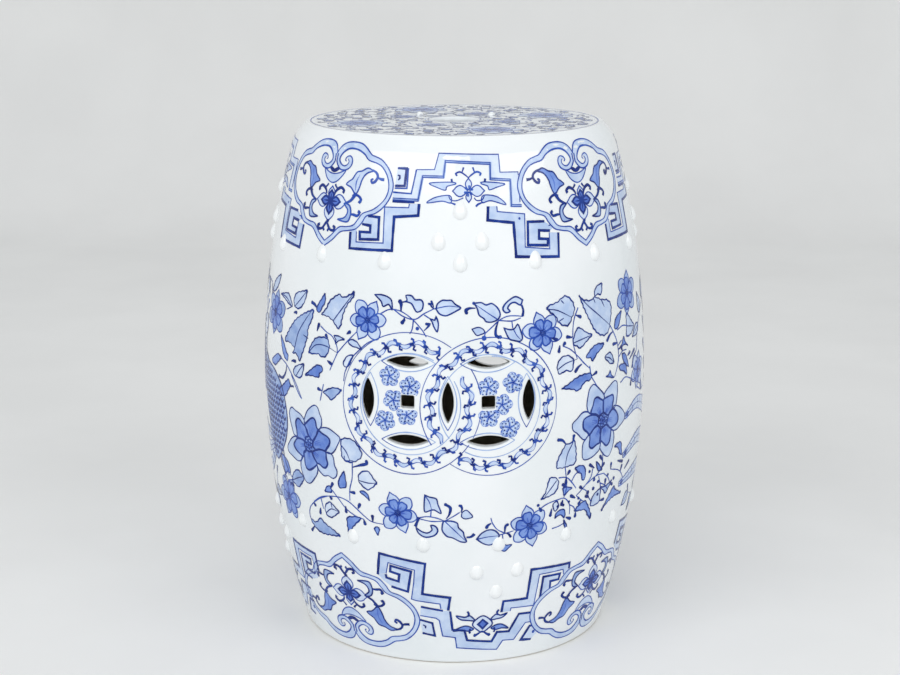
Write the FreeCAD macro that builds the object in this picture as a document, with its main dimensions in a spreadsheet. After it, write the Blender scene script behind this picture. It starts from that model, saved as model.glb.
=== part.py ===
import FreeCAD, Part
import math
import os

import Sketcher

# Glazed porcelain garden stool in millimetres, +Z up. The origin is on the floor at the
# centre of the foot, and -Y is the front, where one of the two pierced medallions is.
# Azimuths are counted from the front towards +X.

DRIVING_SIZES = (
    ("height", 457.0, "floor to the flat of the seat"),
    ("belly_radius", 172.0, "widest outside radius of the barrel"),
    ("belly_height", 230.0, "height of the widest ring"),
    ("foot_radius", 137.0, "outside radius at the floor"),
    ("foot_round", 3.0, "rounding of the two foot edges"),
    ("foot_width", 12.0, "thickness of the clay at the floor"),
    ("foot_band", 8.0, "height of the foot's upright inner face"),
    ("foot_flare", 14.0, "height over which the foot thins to the wall"),
    ("shoulder_depth", 20.0, "how far below the seat the barrel turns in"),
    ("rim_inset", 13.3, "how far the seat edge lies inside that turn"),
    ("wall", 8.0, "thickness of the barrel wall"),
    ("rim_lip", 3.5, "width of the barrel rim around the seat slab"),
    ("seat_thickness", 10.0, "thickness of the seat slab"),
    ("ledge_width", 8.0, "width of the ledge that carries the slab"),
    ("ledge_depth", 7.0, "thickness of that ledge"),
    ("ledge_flare", 12.0, "height of the fillet of clay under the ledge"),
    ("hand_hole_radius", 18.5, "lifting hole in the middle of the seat"),
    ("hand_hole_round", 3.0, "rounding of the lifting hole's edges"),
    ("coin_pitch", 66.3, "distance between the two coins of a medallion"),
    ("coin_height", 243.0, "height of the front medallion's middle"),
    ("back_coin_drop", 13.0, "how much lower the back medallion was cut"),
    ("lens_length", 34.0, "length of each lens opening"),
    ("lens_width", 9.8, "width of each lens opening"),
    ("lens_tip_round", 0.9, "rounding inside the tips of a lens"),
    ("square_width", 11.0, "width of the square coin hole"),
    ("square_round", 1.6, "rounding of the square's corners"),
    ("opening_round", 1.8, "glaze-softened outer edge of every opening"),
    ("drop_radius", 6.6, "radius of a boss at its fullest"),
    ("drop_sink", 3.3, "how far a boss's axis lies under the wall's face"),
    ("upper_drop_reach", 12.9, "how far an upper boss's point lies above its fullest part"),
    ("lower_drop_reach", 10.3, "how far a lower boss's point lies above its fullest part"),
    ("boss_count", 16.0, "bosses in a full row"),
    ("arch_count", 4.0, "fret arches around the barrel"),
    ("pair_half_angle", 6.4, "degrees from an arch's middle to each boss of its pair"),
    ("upper_row_depth", 101.5, "how far below the seat the upper row of bosses lies"),
    ("upper_pair_rise", 17.1, "how far above that row its pairs lie"),
    ("upper_peak_rise", 41.5, "how far above that row its single bosses lie"),
    ("upper_turn", 3.5, "degrees that the upper bosses are turned from the front"),
    ("lower_row_height", 116.4, "height of the lower row of bosses"),
    ("lower_pair_drop", 25.8, "how far below that row its pairs lie"),
    ("lower_peak_drop", 45.4, "how far below that row its single bosses lie"),
    ("lower_turn", 15.0, "degrees that the lower bosses are turned from the front"),
    ("pip_radius", 3.4, "radius of a seat pip"),
    ("pip_rise", 2.6, "height of a seat pip"),
    ("pip_side", 32.5, "sideways distance of a pip from the middle"),
    ("pip_back", 38.0, "distance of the pips behind the middle"),
    ("overrun", 2.0, "how far a cut runs past the clay"),
)

# The barrel's side is one long arc through the foot edge and the widest ring.
BELLY_ARC = ("((dims.belly_height^2 + (dims.belly_radius - dims.foot_radius)^2)"
             " / (2 * (dims.belly_radius - dims.foot_radius)))")

# Where the side turns in to the seat, and the radius of the seat's edge beyond that turn.
SHOULDER_HEIGHT = "(dims.height - dims.shoulder_depth)"
RIM_RADIUS = ("(dims.belly_radius - " + BELLY_ARC + " + sqrt(" + BELLY_ARC + "^2 - ("
              + SHOULDER_HEIGHT + " - dims.belly_height)^2) - dims.rim_inset)")
RECESS_RADIUS = "(" + RIM_RADIUS + " - dims.rim_lip)"

# Heights of the boss rows, of the pairs next to them and of the single bosses beyond.
UPPER_ROW = "(dims.height - dims.upper_row_depth)"
UPPER_PAIRS = "(" + UPPER_ROW + " + dims.upper_pair_rise)"
UPPER_PEAKS = "(" + UPPER_ROW + " + dims.upper_peak_rise)"
LOWER_ROW = "dims.lower_row_height"
LOWER_PAIRS = "(dims.lower_row_height - dims.lower_pair_drop)"
LOWER_PEAKS = "(dims.lower_row_height - dims.lower_peak_drop)"

# The reach of a boss's point and the turn of its rows, upper and lower.
UPPER_BOSSES = ("upper_drop_reach", "upper_turn")
LOWER_BOSSES = ("lower_drop_reach", "lower_turn")

# Radius of a lens's two long sides, tangent to the rounding at its tips.
LENS_ARC = ("(((dims.lens_width / 2)^2 - dims.lens_tip_round^2"
            " + (dims.lens_length / 2 - dims.lens_tip_round)^2)"
            " / (dims.lens_width - 2 * dims.lens_tip_round))")

FULL_TURN = 360.0
HALF_TURN = 180.0
QUARTER_TURN = 90.0
LENSES_OF_LEFT_COIN = 4
LENSES_OF_RIGHT_COIN = 3
COINS = 2

# How near an edge lies to the face that it is looked for on, as a share of the wall.
TOUCH_SHARE = 0.01

# A sketch numbers an element's points up from 1, and its own origin and upright axis down from -1.
START, END, CENTRE = range(1, 4)
ORIGIN, Z_AXIS = range(-1, -3, -1)

FLAT = FreeCAD.Vector(0, 0, 0)
UP = FreeCAD.Vector(0, 0, 1)
SKETCH_UP = FreeCAD.Vector(0, 1, 0)

doc = FreeCAD.newDocument("garden_stool")
sheet = doc.addObject("Spreadsheet::Sheet", "dims")
for row, (alias, value, meaning) in enumerate(DRIVING_SIZES, start=1):
    sheet.set("A%d" % row, alias)
    sheet.set("B%d" % row, str(value))
    sheet.set("C%d" % row, meaning)
    sheet.setAlias("B%d" % row, alias)
doc.recompute()


def size(alias):
    return float(sheet.get(alias))


def value_of(rule):
    """The number that an expression over the sheet gives."""
    return float(sheet.evalExpression(rule))


def belly_arc():
    rise = size("belly_height")
    swell = size("belly_radius") - size("foot_radius")
    return (rise ** 2 + swell ** 2) / (2 * swell)


def outside_radius(level):
    """Outside radius of the long arc at a height."""
    arc = belly_arc()
    rise = level - size("belly_height")
    return size("belly_radius") - arc + math.sqrt(arc ** 2 - rise ** 2)


def new_body(name):
    body = doc.addObject("PartDesign::Body", name)
    body.Label = name
    body.AllowCompound = True
    return body


def origin_feature(body, role):
    return next(item for item in body.Origin.OriginFeatures if item.Role == role)


def new_sketch(body, name):
    """A sketch on the body's own XZ plane: its x is outwards, its y is up."""
    sketch = body.newObject("Sketcher::SketchObject", name)
    sketch.AttachmentSupport = (origin_feature(body, "XZ_Plane"), [""])
    sketch.MapMode = "FlatFace"
    return sketch


def vector(across, up):
    return FreeCAD.Vector(across, up, 0)


def line(sketch, first, last, construction=False):
    return sketch.addGeometry(Part.LineSegment(vector(*first), vector(*last)), construction)


def arc(sketch, centre, radius, first, last, construction=False):
    """An arc that runs anticlockwise from one point to another."""
    begin = math.atan2(first[1] - centre[1], first[0] - centre[0])
    finish = math.atan2(last[1] - centre[1], last[0] - centre[0])
    circle = Part.Circle(vector(*centre), UP, radius)
    return sketch.addGeometry(Part.ArcOfCircle(circle, begin, finish), construction)


def constrain(sketch, kind, *values):
    return sketch.addConstraint(Sketcher.Constraint(kind, *values))


def bind(sketch, kind, *values):
    """A dimension whose value, the last but one item, follows the expression after it."""
    index = constrain(sketch, kind, *values[:-1])
    sketch.setExpression("Constraints[%d]" % index, values[-1])
    return index


def place_point(sketch, geometry, point, across, across_rule, up, up_rule):
    bind(sketch, "DistanceX", ORIGIN, START, geometry, point, across, across_rule)
    bind(sketch, "DistanceY", ORIGIN, START, geometry, point, up, up_rule)


def place_belly_centre(sketch, geometry, point):
    """Puts a point at the centre of the barrel's long arc, far beyond the axis."""
    inward = belly_arc() - size("belly_radius")
    bind(sketch, "DistanceX", geometry, point, ORIGIN, START, inward,
         BELLY_ARC + " - dims.belly_radius")
    bind(sketch, "DistanceY", ORIGIN, START, geometry, point, size("belly_height"),
         "dims.belly_height")


def close_loop(sketch, members):
    """Joins each member's end to the next one's start."""
    for one, other in zip(members, members[1:] + members[:1]):
        constrain(sketch, "Coincident", one, END, other, START)


def shoulder_centre(first, last):
    """Centre and radius of the shoulder, tangent to the long arc where it begins."""
    lean = math.asin((value_of(SHOULDER_HEIGHT) - size("belly_height")) / belly_arc())
    normal = (math.cos(lean), math.sin(lean))
    chord = (last[0] - first[0], last[1] - first[1])
    inward = -(chord[0] * normal[0] + chord[1] * normal[1])
    radius = (chord[0] ** 2 + chord[1] ** 2) / (2 * inward)
    return (first[0] - radius * normal[0], first[1] - radius * normal[1]), radius


def draw_outside(sketch):
    """Half the barrel's outside: axis, foot, long side, shoulder and flat top."""
    side_centre = (size("belly_radius") - belly_arc(), size("belly_height"))
    foot = (size("foot_radius"), 0)
    turn = (outside_radius(value_of(SHOULDER_HEIGHT)), value_of(SHOULDER_HEIGHT))
    rim = (value_of(RIM_RADIUS), size("height"))
    bend_centre, bend_radius = shoulder_centre(turn, rim)
    base = line(sketch, (0, 0), foot)
    side = arc(sketch, side_centre, belly_arc(), foot, turn)
    bend = arc(sketch, bend_centre, bend_radius, turn, rim)
    top = line(sketch, rim, (0, size("height")))
    axis = line(sketch, (0, size("height")), (0, 0))
    constrain(sketch, "Coincident", base, START, ORIGIN, START)
    constrain(sketch, "Horizontal", base)
    constrain(sketch, "Coincident", base, END, side, START)
    constrain(sketch, "Tangent", side, END, bend, START)
    constrain(sketch, "Coincident", bend, END, top, START)
    constrain(sketch, "Coincident", top, END, axis, START)
    constrain(sketch, "Coincident", axis, END, base, START)
    constrain(sketch, "Vertical", axis)
    constrain(sketch, "Horizontal", top)
    place_belly_centre(sketch, side, CENTRE)
    bind(sketch, "Radius", side, belly_arc(), BELLY_ARC)
    bind(sketch, "DistanceY", ORIGIN, START, side, END, turn[1], SHOULDER_HEIGHT)
    place_point(sketch, bend, END, rim[0], RIM_RADIUS, rim[1], "dims.height")


def draw_hollow(sketch):
    """Half the barrel's inside, with the ledge and the recess that take the seat slab."""
    inner_arc = belly_arc() - size("wall")
    side_centre = (size("belly_radius") - belly_arc(), size("belly_height"))
    bottom = -size("overrun")
    top = size("height") + size("overrun")
    recess = value_of(RECESS_RADIUS)
    ledge = recess - size("ledge_width")
    floor = size("height") - size("seat_thickness")
    under = floor - size("ledge_depth")
    flare = under - size("ledge_flare")

    def inside_radius(level):
        return side_centre[0] + math.sqrt(inner_arc ** 2 - (level - side_centre[1]) ** 2)

    foot = size("foot_radius") - size("foot_width")
    band = size("foot_band")
    start = (inside_radius(band + size("foot_flare")), band + size("foot_flare"))
    bend = (inside_radius(flare), flare)
    base = line(sketch, (0, bottom), (foot, bottom))
    band_wall = line(sketch, (foot, bottom), (foot, band))
    thinning = line(sketch, (foot, band), start)
    side = arc(sketch, side_centre, inner_arc, start, bend)
    slope = line(sketch, bend, (ledge, under))
    lip = line(sketch, (ledge, under), (ledge, floor))
    shelf = line(sketch, (ledge, floor), (recess, floor))
    recess_wall = line(sketch, (recess, floor), (recess, top))
    cover = line(sketch, (recess, top), (0, top))
    axis = line(sketch, (0, top), (0, bottom))
    loop = [base, band_wall, thinning, side, slope, lip, shelf, recess_wall, cover, axis]
    close_loop(sketch, loop)
    for flat in (base, shelf, cover):
        constrain(sketch, "Horizontal", flat)
    for upright in (band_wall, lip, recess_wall, axis):
        constrain(sketch, "Vertical", upright)
    constrain(sketch, "PointOnObject", axis, START, Z_AXIS)
    place_point(sketch, band_wall, END, foot, "dims.foot_radius - dims.foot_width",
                band, "dims.foot_band")
    bind(sketch, "DistanceY", ORIGIN, START, side, START, start[1],
         "dims.foot_band + dims.foot_flare")
    place_belly_centre(sketch, side, CENTRE)
    bind(sketch, "Radius", side, inner_arc, BELLY_ARC + " - dims.wall")
    bind(sketch, "DistanceY", base, START, ORIGIN, START, size("overrun"), "dims.overrun")
    bind(sketch, "DistanceY", ORIGIN, START, side, END, flare,
         "dims.height - dims.seat_thickness - dims.ledge_depth - dims.ledge_flare")
    bind(sketch, "DistanceY", ORIGIN, START, slope, END, under,
         "dims.height - dims.seat_thickness - dims.ledge_depth")
    place_point(sketch, lip, END, ledge, RECESS_RADIUS + " - dims.ledge_width",
                floor, "dims.height - dims.seat_thickness")
    place_point(sketch, recess_wall, END, recess, RECESS_RADIUS,
                top, "dims.height + dims.overrun")


def revolve(body, name, sketch, kind="PartDesign::Revolution", axis="V_Axis"):
    feature = body.newObject(kind, name)
    feature.Profile = (sketch, [""])
    feature.ReferenceAxis = (sketch, [axis])
    feature.Angle = FULL_TURN
    return feature


def draw_lens(sketch, sideways):
    """A pointed lens opening beside the coin's middle, or above it."""
    half_length = size("lens_length") / 2
    half_width = size("lens_width") / 2
    tip = size("lens_tip_round")
    reach = half_length - tip
    side = (half_width ** 2 - tip ** 2 + reach ** 2) / (2 * (half_width - tip))
    offset = size("coin_pitch") / 2
    back_off = side - half_width
    share = side / (side - tip)
    touch = (share * back_off - back_off, share * reach)

    def turned(across, up):
        if sideways:
            return (offset + across, up)
        return (-up, offset + across)

    corner_ne = turned(touch[0], touch[1])
    corner_se = turned(touch[0], -touch[1])
    corner_nw = turned(-touch[0], touch[1])
    corner_sw = turned(-touch[0], -touch[1])
    right = arc(sketch, turned(-back_off, 0), side, corner_se, corner_ne)
    top = arc(sketch, turned(0, reach), tip, corner_ne, corner_nw)
    left = arc(sketch, turned(back_off, 0), side, corner_nw, corner_sw)
    bottom = arc(sketch, turned(0, -reach), tip, corner_sw, corner_se)
    ring = [right, top, left, bottom]
    for one, other in zip(ring, ring[1:] + ring[:1]):
        constrain(sketch, "Tangent", one, END, other, START)
    bind(sketch, "Radius", top, tip, "dims.lens_tip_round")
    bind(sketch, "Radius", bottom, tip, "dims.lens_tip_round")
    bind(sketch, "Radius", right, side, LENS_ARC)
    bind(sketch, "Radius", left, side, LENS_ARC)
    reach_rule = "dims.lens_length / 2 - dims.lens_tip_round"
    if sideways:
        place_point(sketch, top, CENTRE, offset, "dims.coin_pitch / 2", reach, reach_rule)
        bind(sketch, "DistanceX", ORIGIN, START, bottom, CENTRE, offset, "dims.coin_pitch / 2")
        bind(sketch, "DistanceY", bottom, CENTRE, ORIGIN, START, reach, reach_rule)
    else:
        bind(sketch, "DistanceX", top, CENTRE, ORIGIN, START, reach, reach_rule)
        bind(sketch, "DistanceY", ORIGIN, START, top, CENTRE, offset, "dims.coin_pitch / 2")
        place_point(sketch, bottom, CENTRE, reach, reach_rule, offset, "dims.coin_pitch / 2")


def draw_square(sketch):
    """The square hole of a coin, with rounded corners, about the sketch's origin."""
    half = size("square_width") / 2
    bend = size("square_round")
    inner = half - bend
    sides = []
    corners = []
    for turn in range(4):
        def turned(across, up, quarter=turn):
            for _ in range(quarter):
                across, up = -up, across
            return (across, up)
        sides.append(line(sketch, turned(half, -inner), turned(half, inner)))
        corners.append(arc(sketch, turned(inner, inner), bend, turned(half, inner), turned(inner, half)))
    for turn in range(4):
        constrain(sketch, "Tangent", sides[turn], END, corners[turn], START)
        constrain(sketch, "Tangent", corners[turn], END, sides[(turn + 1) % 4], START)
        bind(sketch, "Radius", corners[turn], bend, "dims.square_round")
    for upright in (sides[0], sides[2]):
        constrain(sketch, "Vertical", upright)
    for flat in (sides[1], sides[3]):
        constrain(sketch, "Horizontal", flat)
    half_rule = "dims.square_width / 2"
    bind(sketch, "DistanceX", ORIGIN, START, sides[0], START, half, half_rule)
    bind(sketch, "DistanceX", sides[2], START, ORIGIN, START, half, half_rule)
    bind(sketch, "DistanceY", ORIGIN, START, sides[1], START, half, half_rule)
    bind(sketch, "DistanceY", sides[3], START, ORIGIN, START, half, half_rule)


def seat_on_coin(sketch, side, height_rule):
    """Moves a sketch's origin to the middle of the left or the right coin."""
    sign = "-" if side < 0 else ""
    sketch.setExpression("AttachmentOffset.Base.x", sign + "dims.coin_pitch / 2")
    sketch.setExpression("AttachmentOffset.Base.y", height_rule)


def pierce(body, name, sketch, towards_front):
    """Cuts a sketch straight through the front or the back of the barrel."""
    pocket = body.newObject("PartDesign::Pocket", name)
    pocket.Profile = (sketch, [""])
    pocket.Type = "Length"
    pocket.Reversed = towards_front
    pocket.setExpression("Length", "dims.belly_radius + dims.overrun")
    return pocket


def cut_medallion(body, face, towards_front, height_rule):
    """Two overlapping coins: four lenses round each square, the middle lens shared."""
    left = new_sketch(body, face + "_left_lens_outline")
    draw_lens(left, True)
    seat_on_coin(left, -1, height_rule)
    left_lens = pierce(body, face + "_left_lens", left, towards_front)
    left_ring = body.newObject("PartDesign::PolarPattern", face + "_left_lenses")
    left_ring.Originals = [left_lens]
    left_ring.Axis = (left, ["N_Axis"])
    left_ring.Angle = FULL_TURN
    left_ring.Occurrences = LENSES_OF_LEFT_COIN
    body.Tip = left_ring

    right = new_sketch(body, face + "_right_lens_outline")
    draw_lens(right, False)
    seat_on_coin(right, 1, height_rule)
    right_lens = pierce(body, face + "_right_lens", right, towards_front)
    right_ring = body.newObject("PartDesign::PolarPattern", face + "_right_lenses")
    right_ring.Originals = [right_lens]
    right_ring.Axis = (right, ["N_Axis"])
    right_ring.Angle = HALF_TURN
    right_ring.Occurrences = LENSES_OF_RIGHT_COIN
    right_ring.Reversed = True
    body.Tip = right_ring

    square = new_sketch(body, face + "_square_outline")
    draw_square(square)
    seat_on_coin(square, -1, height_rule)
    square_hole = pierce(body, face + "_square", square, towards_front)
    squares = body.newObject("PartDesign::LinearPattern", face + "_squares")
    squares.Originals = [square_hole]
    squares.Direction = (square, ["H_Axis"])
    squares.Occurrences = COINS
    squares.setExpression("Length", "dims.coin_pitch")
    body.Tip = squares
    return squares


def make_barrel():
    body = new_body("barrel_wall")
    outside = new_sketch(body, "barrel_outline")
    draw_outside(outside)
    revolve(body, "barrel_solid", outside)
    hollow = new_sketch(body, "hollow_outline")
    draw_hollow(hollow)
    revolve(body, "barrel_hollow", hollow, "PartDesign::Groove")
    cut_medallion(body, "front", True, "dims.coin_height")
    last_cut = cut_medallion(body, "back", False, "dims.coin_height - dims.back_coin_drop")
    doc.recompute()

    rims = body.newObject("PartDesign::Fillet", "opening_rims")
    rims.Base = (last_cut, opening_rim_edges(last_cut.Shape))
    rims.setExpression("Radius", "dims.opening_round")
    doc.recompute()

    foot = body.newObject("PartDesign::Fillet", "foot_edges")
    foot.Base = (rims, floor_edges(rims.Shape))
    foot.setExpression("Radius", "dims.foot_round")
    body.Tip = foot
    return body


def edge_names(shape, wanted):
    return ["Edge%d" % index for index, edge in enumerate(shape.Edges, start=1) if wanted(edge)]


def opening_rim_edges(shape):
    """Short edges that lie on the barrel's outside: where the openings break through."""
    slack = size("wall") * TOUCH_SHARE
    longest = size("lens_length") + size("lens_width")

    def on_rim(edge):
        first, last = edge.ParameterRange
        spots = [edge.valueAt(place) for place in (first, (first + last) / 2, last)]
        outside = all(abs(math.hypot(spot.x, spot.y) - outside_radius(spot.z)) < slack
                      for spot in spots)
        return outside and edge.Length < longest

    return edge_names(shape, on_rim)


def floor_edges(shape):
    """The two circles of the foot."""
    slack = size("wall") * TOUCH_SHARE
    return edge_names(shape, lambda edge: edge.BoundBox.ZMax < slack)


def make_seat():
    """The seat slab, which lies in the recess of the rim on its ledge."""
    body = new_body("seat_top")
    sketch = new_sketch(body, "slab_outline")
    inner = size("hand_hole_radius")
    outer = value_of(RECESS_RADIUS)
    top = size("height")
    low = top - size("seat_thickness")
    corners = [(inner, low), (outer, low), (outer, top), (inner, top)]
    sides = [line(sketch, one, other) for one, other in zip(corners, corners[1:] + corners[:1])]
    close_loop(sketch, sides)
    for flat in (sides[0], sides[2]):
        constrain(sketch, "Horizontal", flat)
    for upright in (sides[1], sides[3]):
        constrain(sketch, "Vertical", upright)
    place_point(sketch, sides[0], START, inner, "dims.hand_hole_radius",
                low, "dims.height - dims.seat_thickness")
    place_point(sketch, sides[2], START, outer, RECESS_RADIUS, top, "dims.height")
    slab = revolve(body, "slab", sketch)
    doc.recompute()

    slack = size("wall") * TOUCH_SHARE

    def at_hole(edge):
        flat = edge.BoundBox.ZLength < slack
        return flat and abs(edge.BoundBox.XLength / 2 - inner) < slack

    rims = body.newObject("PartDesign::Fillet", "hand_hole_edges")
    rims.Base = (slab, edge_names(slab.Shape, at_hole))
    rims.setExpression("Radius", "dims.hand_hole_round")
    body.Tip = rims
    return body


def draw_drop(sketch, height_rule, reach_alias):
    """The inner half of an egg-shaped drop whose axis lies under the wall's face, point up."""
    arc_radius = belly_arc()
    reach = arc_radius - size("drop_sink")
    level = value_of(height_rule)
    rise = level - size("belly_height")
    normal = (math.sqrt(reach ** 2 - rise ** 2) / reach, rise / reach)
    along = (-normal[1], normal[0])
    hub = (size("belly_radius") - arc_radius, size("belly_height"))
    middle = (hub[0] + reach * normal[0], level)
    radius = size("drop_radius")
    tip_reach = size(reach_alias)
    flank_radius = (radius ** 2 + tip_reach ** 2) / (2 * radius)

    def spot(outward, upward):
        return (middle[0] + outward * normal[0] + upward * along[0],
                middle[1] + outward * normal[1] + upward * along[1])

    foot = spot(0, -radius)
    tip = spot(0, tip_reach)
    fullest = spot(-radius, 0)
    spoke = line(sketch, hub, middle, True)
    axis = line(sketch, foot, tip, True)
    bowl = arc(sketch, middle, radius, fullest, foot)
    core = line(sketch, foot, tip)
    flank = arc(sketch, spot(flank_radius - radius, 0), flank_radius, tip, fullest)
    place_belly_centre(sketch, spoke, START)
    bind(sketch, "Distance", spoke, reach, BELLY_ARC + " - dims.drop_sink")
    bind(sketch, "DistanceY", ORIGIN, START, spoke, END, level, height_rule)
    constrain(sketch, "Coincident", bowl, CENTRE, spoke, END)
    constrain(sketch, "Perpendicular", spoke, axis)
    constrain(sketch, "PointOnObject", spoke, END, axis)
    constrain(sketch, "Coincident", axis, START, bowl, END)
    constrain(sketch, "Tangent", flank, END, bowl, START)
    constrain(sketch, "PointOnObject", flank, CENTRE, spoke)
    constrain(sketch, "Coincident", flank, START, axis, END)
    constrain(sketch, "Coincident", core, START, axis, START)
    constrain(sketch, "Coincident", core, END, axis, END)
    bind(sketch, "Radius", bowl, radius, "dims.drop_radius")
    bind(sketch, "Distance", axis, radius + tip_reach, "dims.drop_radius + dims." + reach_alias)


def turn_sketch(sketch, turn_rule):
    """Turns a sketch about the barrel's axis."""
    sketch.AttachmentOffset = FreeCAD.Placement(FLAT, FreeCAD.Rotation(SKETCH_UP, QUARTER_TURN))
    sketch.setExpression("AttachmentOffset.Rotation.Angle", turn_rule)


def add_drop(body, name, height_rule, reach_alias, turn_rule=None):
    sketch = new_sketch(body, name + "_outline")
    if turn_rule:
        turn_sketch(sketch, turn_rule)
    draw_drop(sketch, height_rule, reach_alias)
    return revolve(body, name, sketch, axis="Axis1")


def make_bosses(name, height_rule, reach_alias, turn_alias, count_alias, paired=False):
    """A ring of clay drops, each with its back shaped to the barrel that it is luted to."""
    body = new_body(name)
    if paired:
        add_drop(body, name + "_left", height_rule, reach_alias, "-dims.pair_half_angle")
        add_drop(body, name + "_right", height_rule, reach_alias, "dims.pair_half_angle")
    else:
        add_drop(body, name + "_drop", height_rule, reach_alias)
    back = new_sketch(body, name + "_back_outline")
    turn_sketch(back, str(HALF_TURN))
    draw_outside(back)
    body.Tip = revolve(body, name + "_back", back, "PartDesign::Groove")
    doc.recompute()

    ring = body.newObject("PartDesign::PolarPattern", name + "_ring")
    ring.TransformMode = "Whole shape"
    ring.Axis = (origin_feature(body, "Z_Axis"), [""])
    ring.Angle = FULL_TURN
    ring.setExpression("Occurrences", "dims." + count_alias)
    body.Tip = ring
    body.Placement = FreeCAD.Placement(FLAT, FreeCAD.Rotation(UP, size(turn_alias)))
    body.setExpression("Placement.Rotation.Angle", "dims." + turn_alias)
    return body


def make_pips():
    """Two low pips on the seat, mirrored left and right behind the lifting hole."""
    body = new_body("seat_pips")
    sketch = new_sketch(body, "pip_outline")
    base = size("height")
    rise = size("pip_rise")
    radius = size("pip_radius")
    dome = (radius ** 2 + rise ** 2) / (2 * rise)
    place = size("pip_side")
    axis = line(sketch, (place, base), (place, base + rise), True)
    flat = line(sketch, (place, base), (place + radius, base))
    crown = arc(sketch, (place, base + rise - dome), dome, (place + radius, base), (place, base + rise))
    core = line(sketch, (place, base + rise), (place, base))
    close_loop(sketch, [flat, crown, core])
    constrain(sketch, "Coincident", axis, START, flat, START)
    constrain(sketch, "Coincident", axis, END, crown, END)
    constrain(sketch, "Vertical", axis)
    constrain(sketch, "Horizontal", flat)
    constrain(sketch, "PointOnObject", crown, CENTRE, axis)
    place_point(sketch, axis, START, place, "dims.pip_side", base, "dims.height")
    bind(sketch, "Distance", axis, rise, "dims.pip_rise")
    bind(sketch, "Distance", flat, radius, "dims.pip_radius")
    sketch.setExpression("AttachmentOffset.Base.z", "-dims.pip_back")
    pip = revolve(body, "pip", sketch, axis="Axis0")
    pair = body.newObject("PartDesign::Mirrored", "pip_pair")
    pair.Originals = [pip]
    pair.MirrorPlane = (origin_feature(body, "YZ_Plane"), [""])
    body.Tip = pair
    return body


bodies = [
    make_barrel(),
    make_seat(),
    make_bosses("upper_boss_row", UPPER_ROW, *UPPER_BOSSES, "boss_count"),
    make_bosses("upper_boss_pairs", UPPER_PAIRS, *UPPER_BOSSES, "arch_count", paired=True),
    make_bosses("upper_boss_peaks", UPPER_PEAKS, *UPPER_BOSSES, "arch_count"),
    make_bosses("lower_boss_row", LOWER_ROW, *LOWER_BOSSES, "boss_count"),
    make_bosses("lower_boss_pairs", LOWER_PAIRS, *LOWER_BOSSES, "arch_count", paired=True),
    make_bosses("lower_boss_peaks", LOWER_PEAKS, *LOWER_BOSSES, "arch_count"),
    make_pips(),
]
doc.recompute()

for item in doc.Objects:
    if "Invalid" in item.State or "Error" in item.State:
        raise RuntimeError("%s failed: %s" % (item.Name, item.State))
for body in bodies:
    if body.Shape.isNull() or not body.Shape.isValid():
        raise RuntimeError("%s has no valid shape" % body.Label)

os.makedirs("parts", exist_ok=True)
for body in bodies:
    body.Shape.exportStep(os.path.join("parts", body.Label + ".step"))
    print("%s: %d solids, %.0f mm3" % (body.Label, len(body.Shape.Solids), body.Shape.Volume))
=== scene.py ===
import math
from contextlib import contextmanager

import bpy
from mathutils import Matrix, Vector, noise
from mathutils.geometry import delaunay_2d_cdt


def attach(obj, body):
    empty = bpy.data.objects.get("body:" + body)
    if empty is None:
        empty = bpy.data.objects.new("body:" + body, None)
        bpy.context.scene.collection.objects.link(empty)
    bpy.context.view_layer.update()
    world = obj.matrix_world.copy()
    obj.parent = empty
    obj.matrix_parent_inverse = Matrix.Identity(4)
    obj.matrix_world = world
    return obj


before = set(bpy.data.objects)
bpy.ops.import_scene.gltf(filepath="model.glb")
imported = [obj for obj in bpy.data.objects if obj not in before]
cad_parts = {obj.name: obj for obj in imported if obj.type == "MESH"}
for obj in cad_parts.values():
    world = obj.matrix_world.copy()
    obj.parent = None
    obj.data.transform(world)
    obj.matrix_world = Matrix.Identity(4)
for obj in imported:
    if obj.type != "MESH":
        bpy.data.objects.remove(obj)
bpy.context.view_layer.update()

# Glazed porcelain garden stool, painted in cobalt blue. The painting is drawn in millimetres on
# the barrel unrolled at its widest ring: u runs to the right from the front, v is the height.
# Every brush stroke and wash becomes a thin skin that lies on the glaze.

MM = 0.001

# Sizes of the barrel, in millimetres.
HEIGHT = 457.0
BELLY = 172.0
BELLY_HEIGHT = 230.0
FOOT = 137.0
SHOULDER = 437.0
RIM = 130.5
ARC = (BELLY_HEIGHT ** 2 + (BELLY - FOOT) ** 2) / (2 * (BELLY - FOOT))
AXIS_OFFSET = BELLY - ARC
ROUND = 2 * math.pi * BELLY

# The medallions: middle heights, distance between the coins.
FRONT_HEIGHT = 243.0
BACK_HEIGHT = 230.0
COIN_PITCH = 66.3

# How far each tone of paint lies above the glaze, and the step between strokes of one tone.
LIFTS = {"pale": 0.05, "wash": 0.06, "mid": 0.09, "petal": 0.12, "blend": 0.15, "ink": 0.18, "line": 0.21}
TONES = tuple(LIFTS)
STEP_LIFT = 0.002
LIFT_STEPS = 19

# Spacing of the points along a smooth stroke, a straight one and the edge of a wash, and inside a wash.
STROKE_STEP = 1.3
STRAIGHT_STEP = 2.6
EDGE_STEP = 1.8
FILL_STEP = 5.0
DOT_CORNERS = 8

# The unsteady hand: how much the width of a stroke wavers, over what length, and how far the
# wavering of one stroke lies from that of the next.
SHAKE = 0.12
WAVER_LENGTH = 6
WAVER_SHIFT = 0.7

# A stroke as wide as this leaves the darkest tone.
HEAVY_STROKE = 1.4

# The smallest cosine at a corner of a stroke, the length under which a step has no direction, and
# how near two points of a wash count as one.
LEAST_COSINE = 0.55
TINY = 1e-9
SAME_POINT = 1e-5


# Geometry

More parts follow.
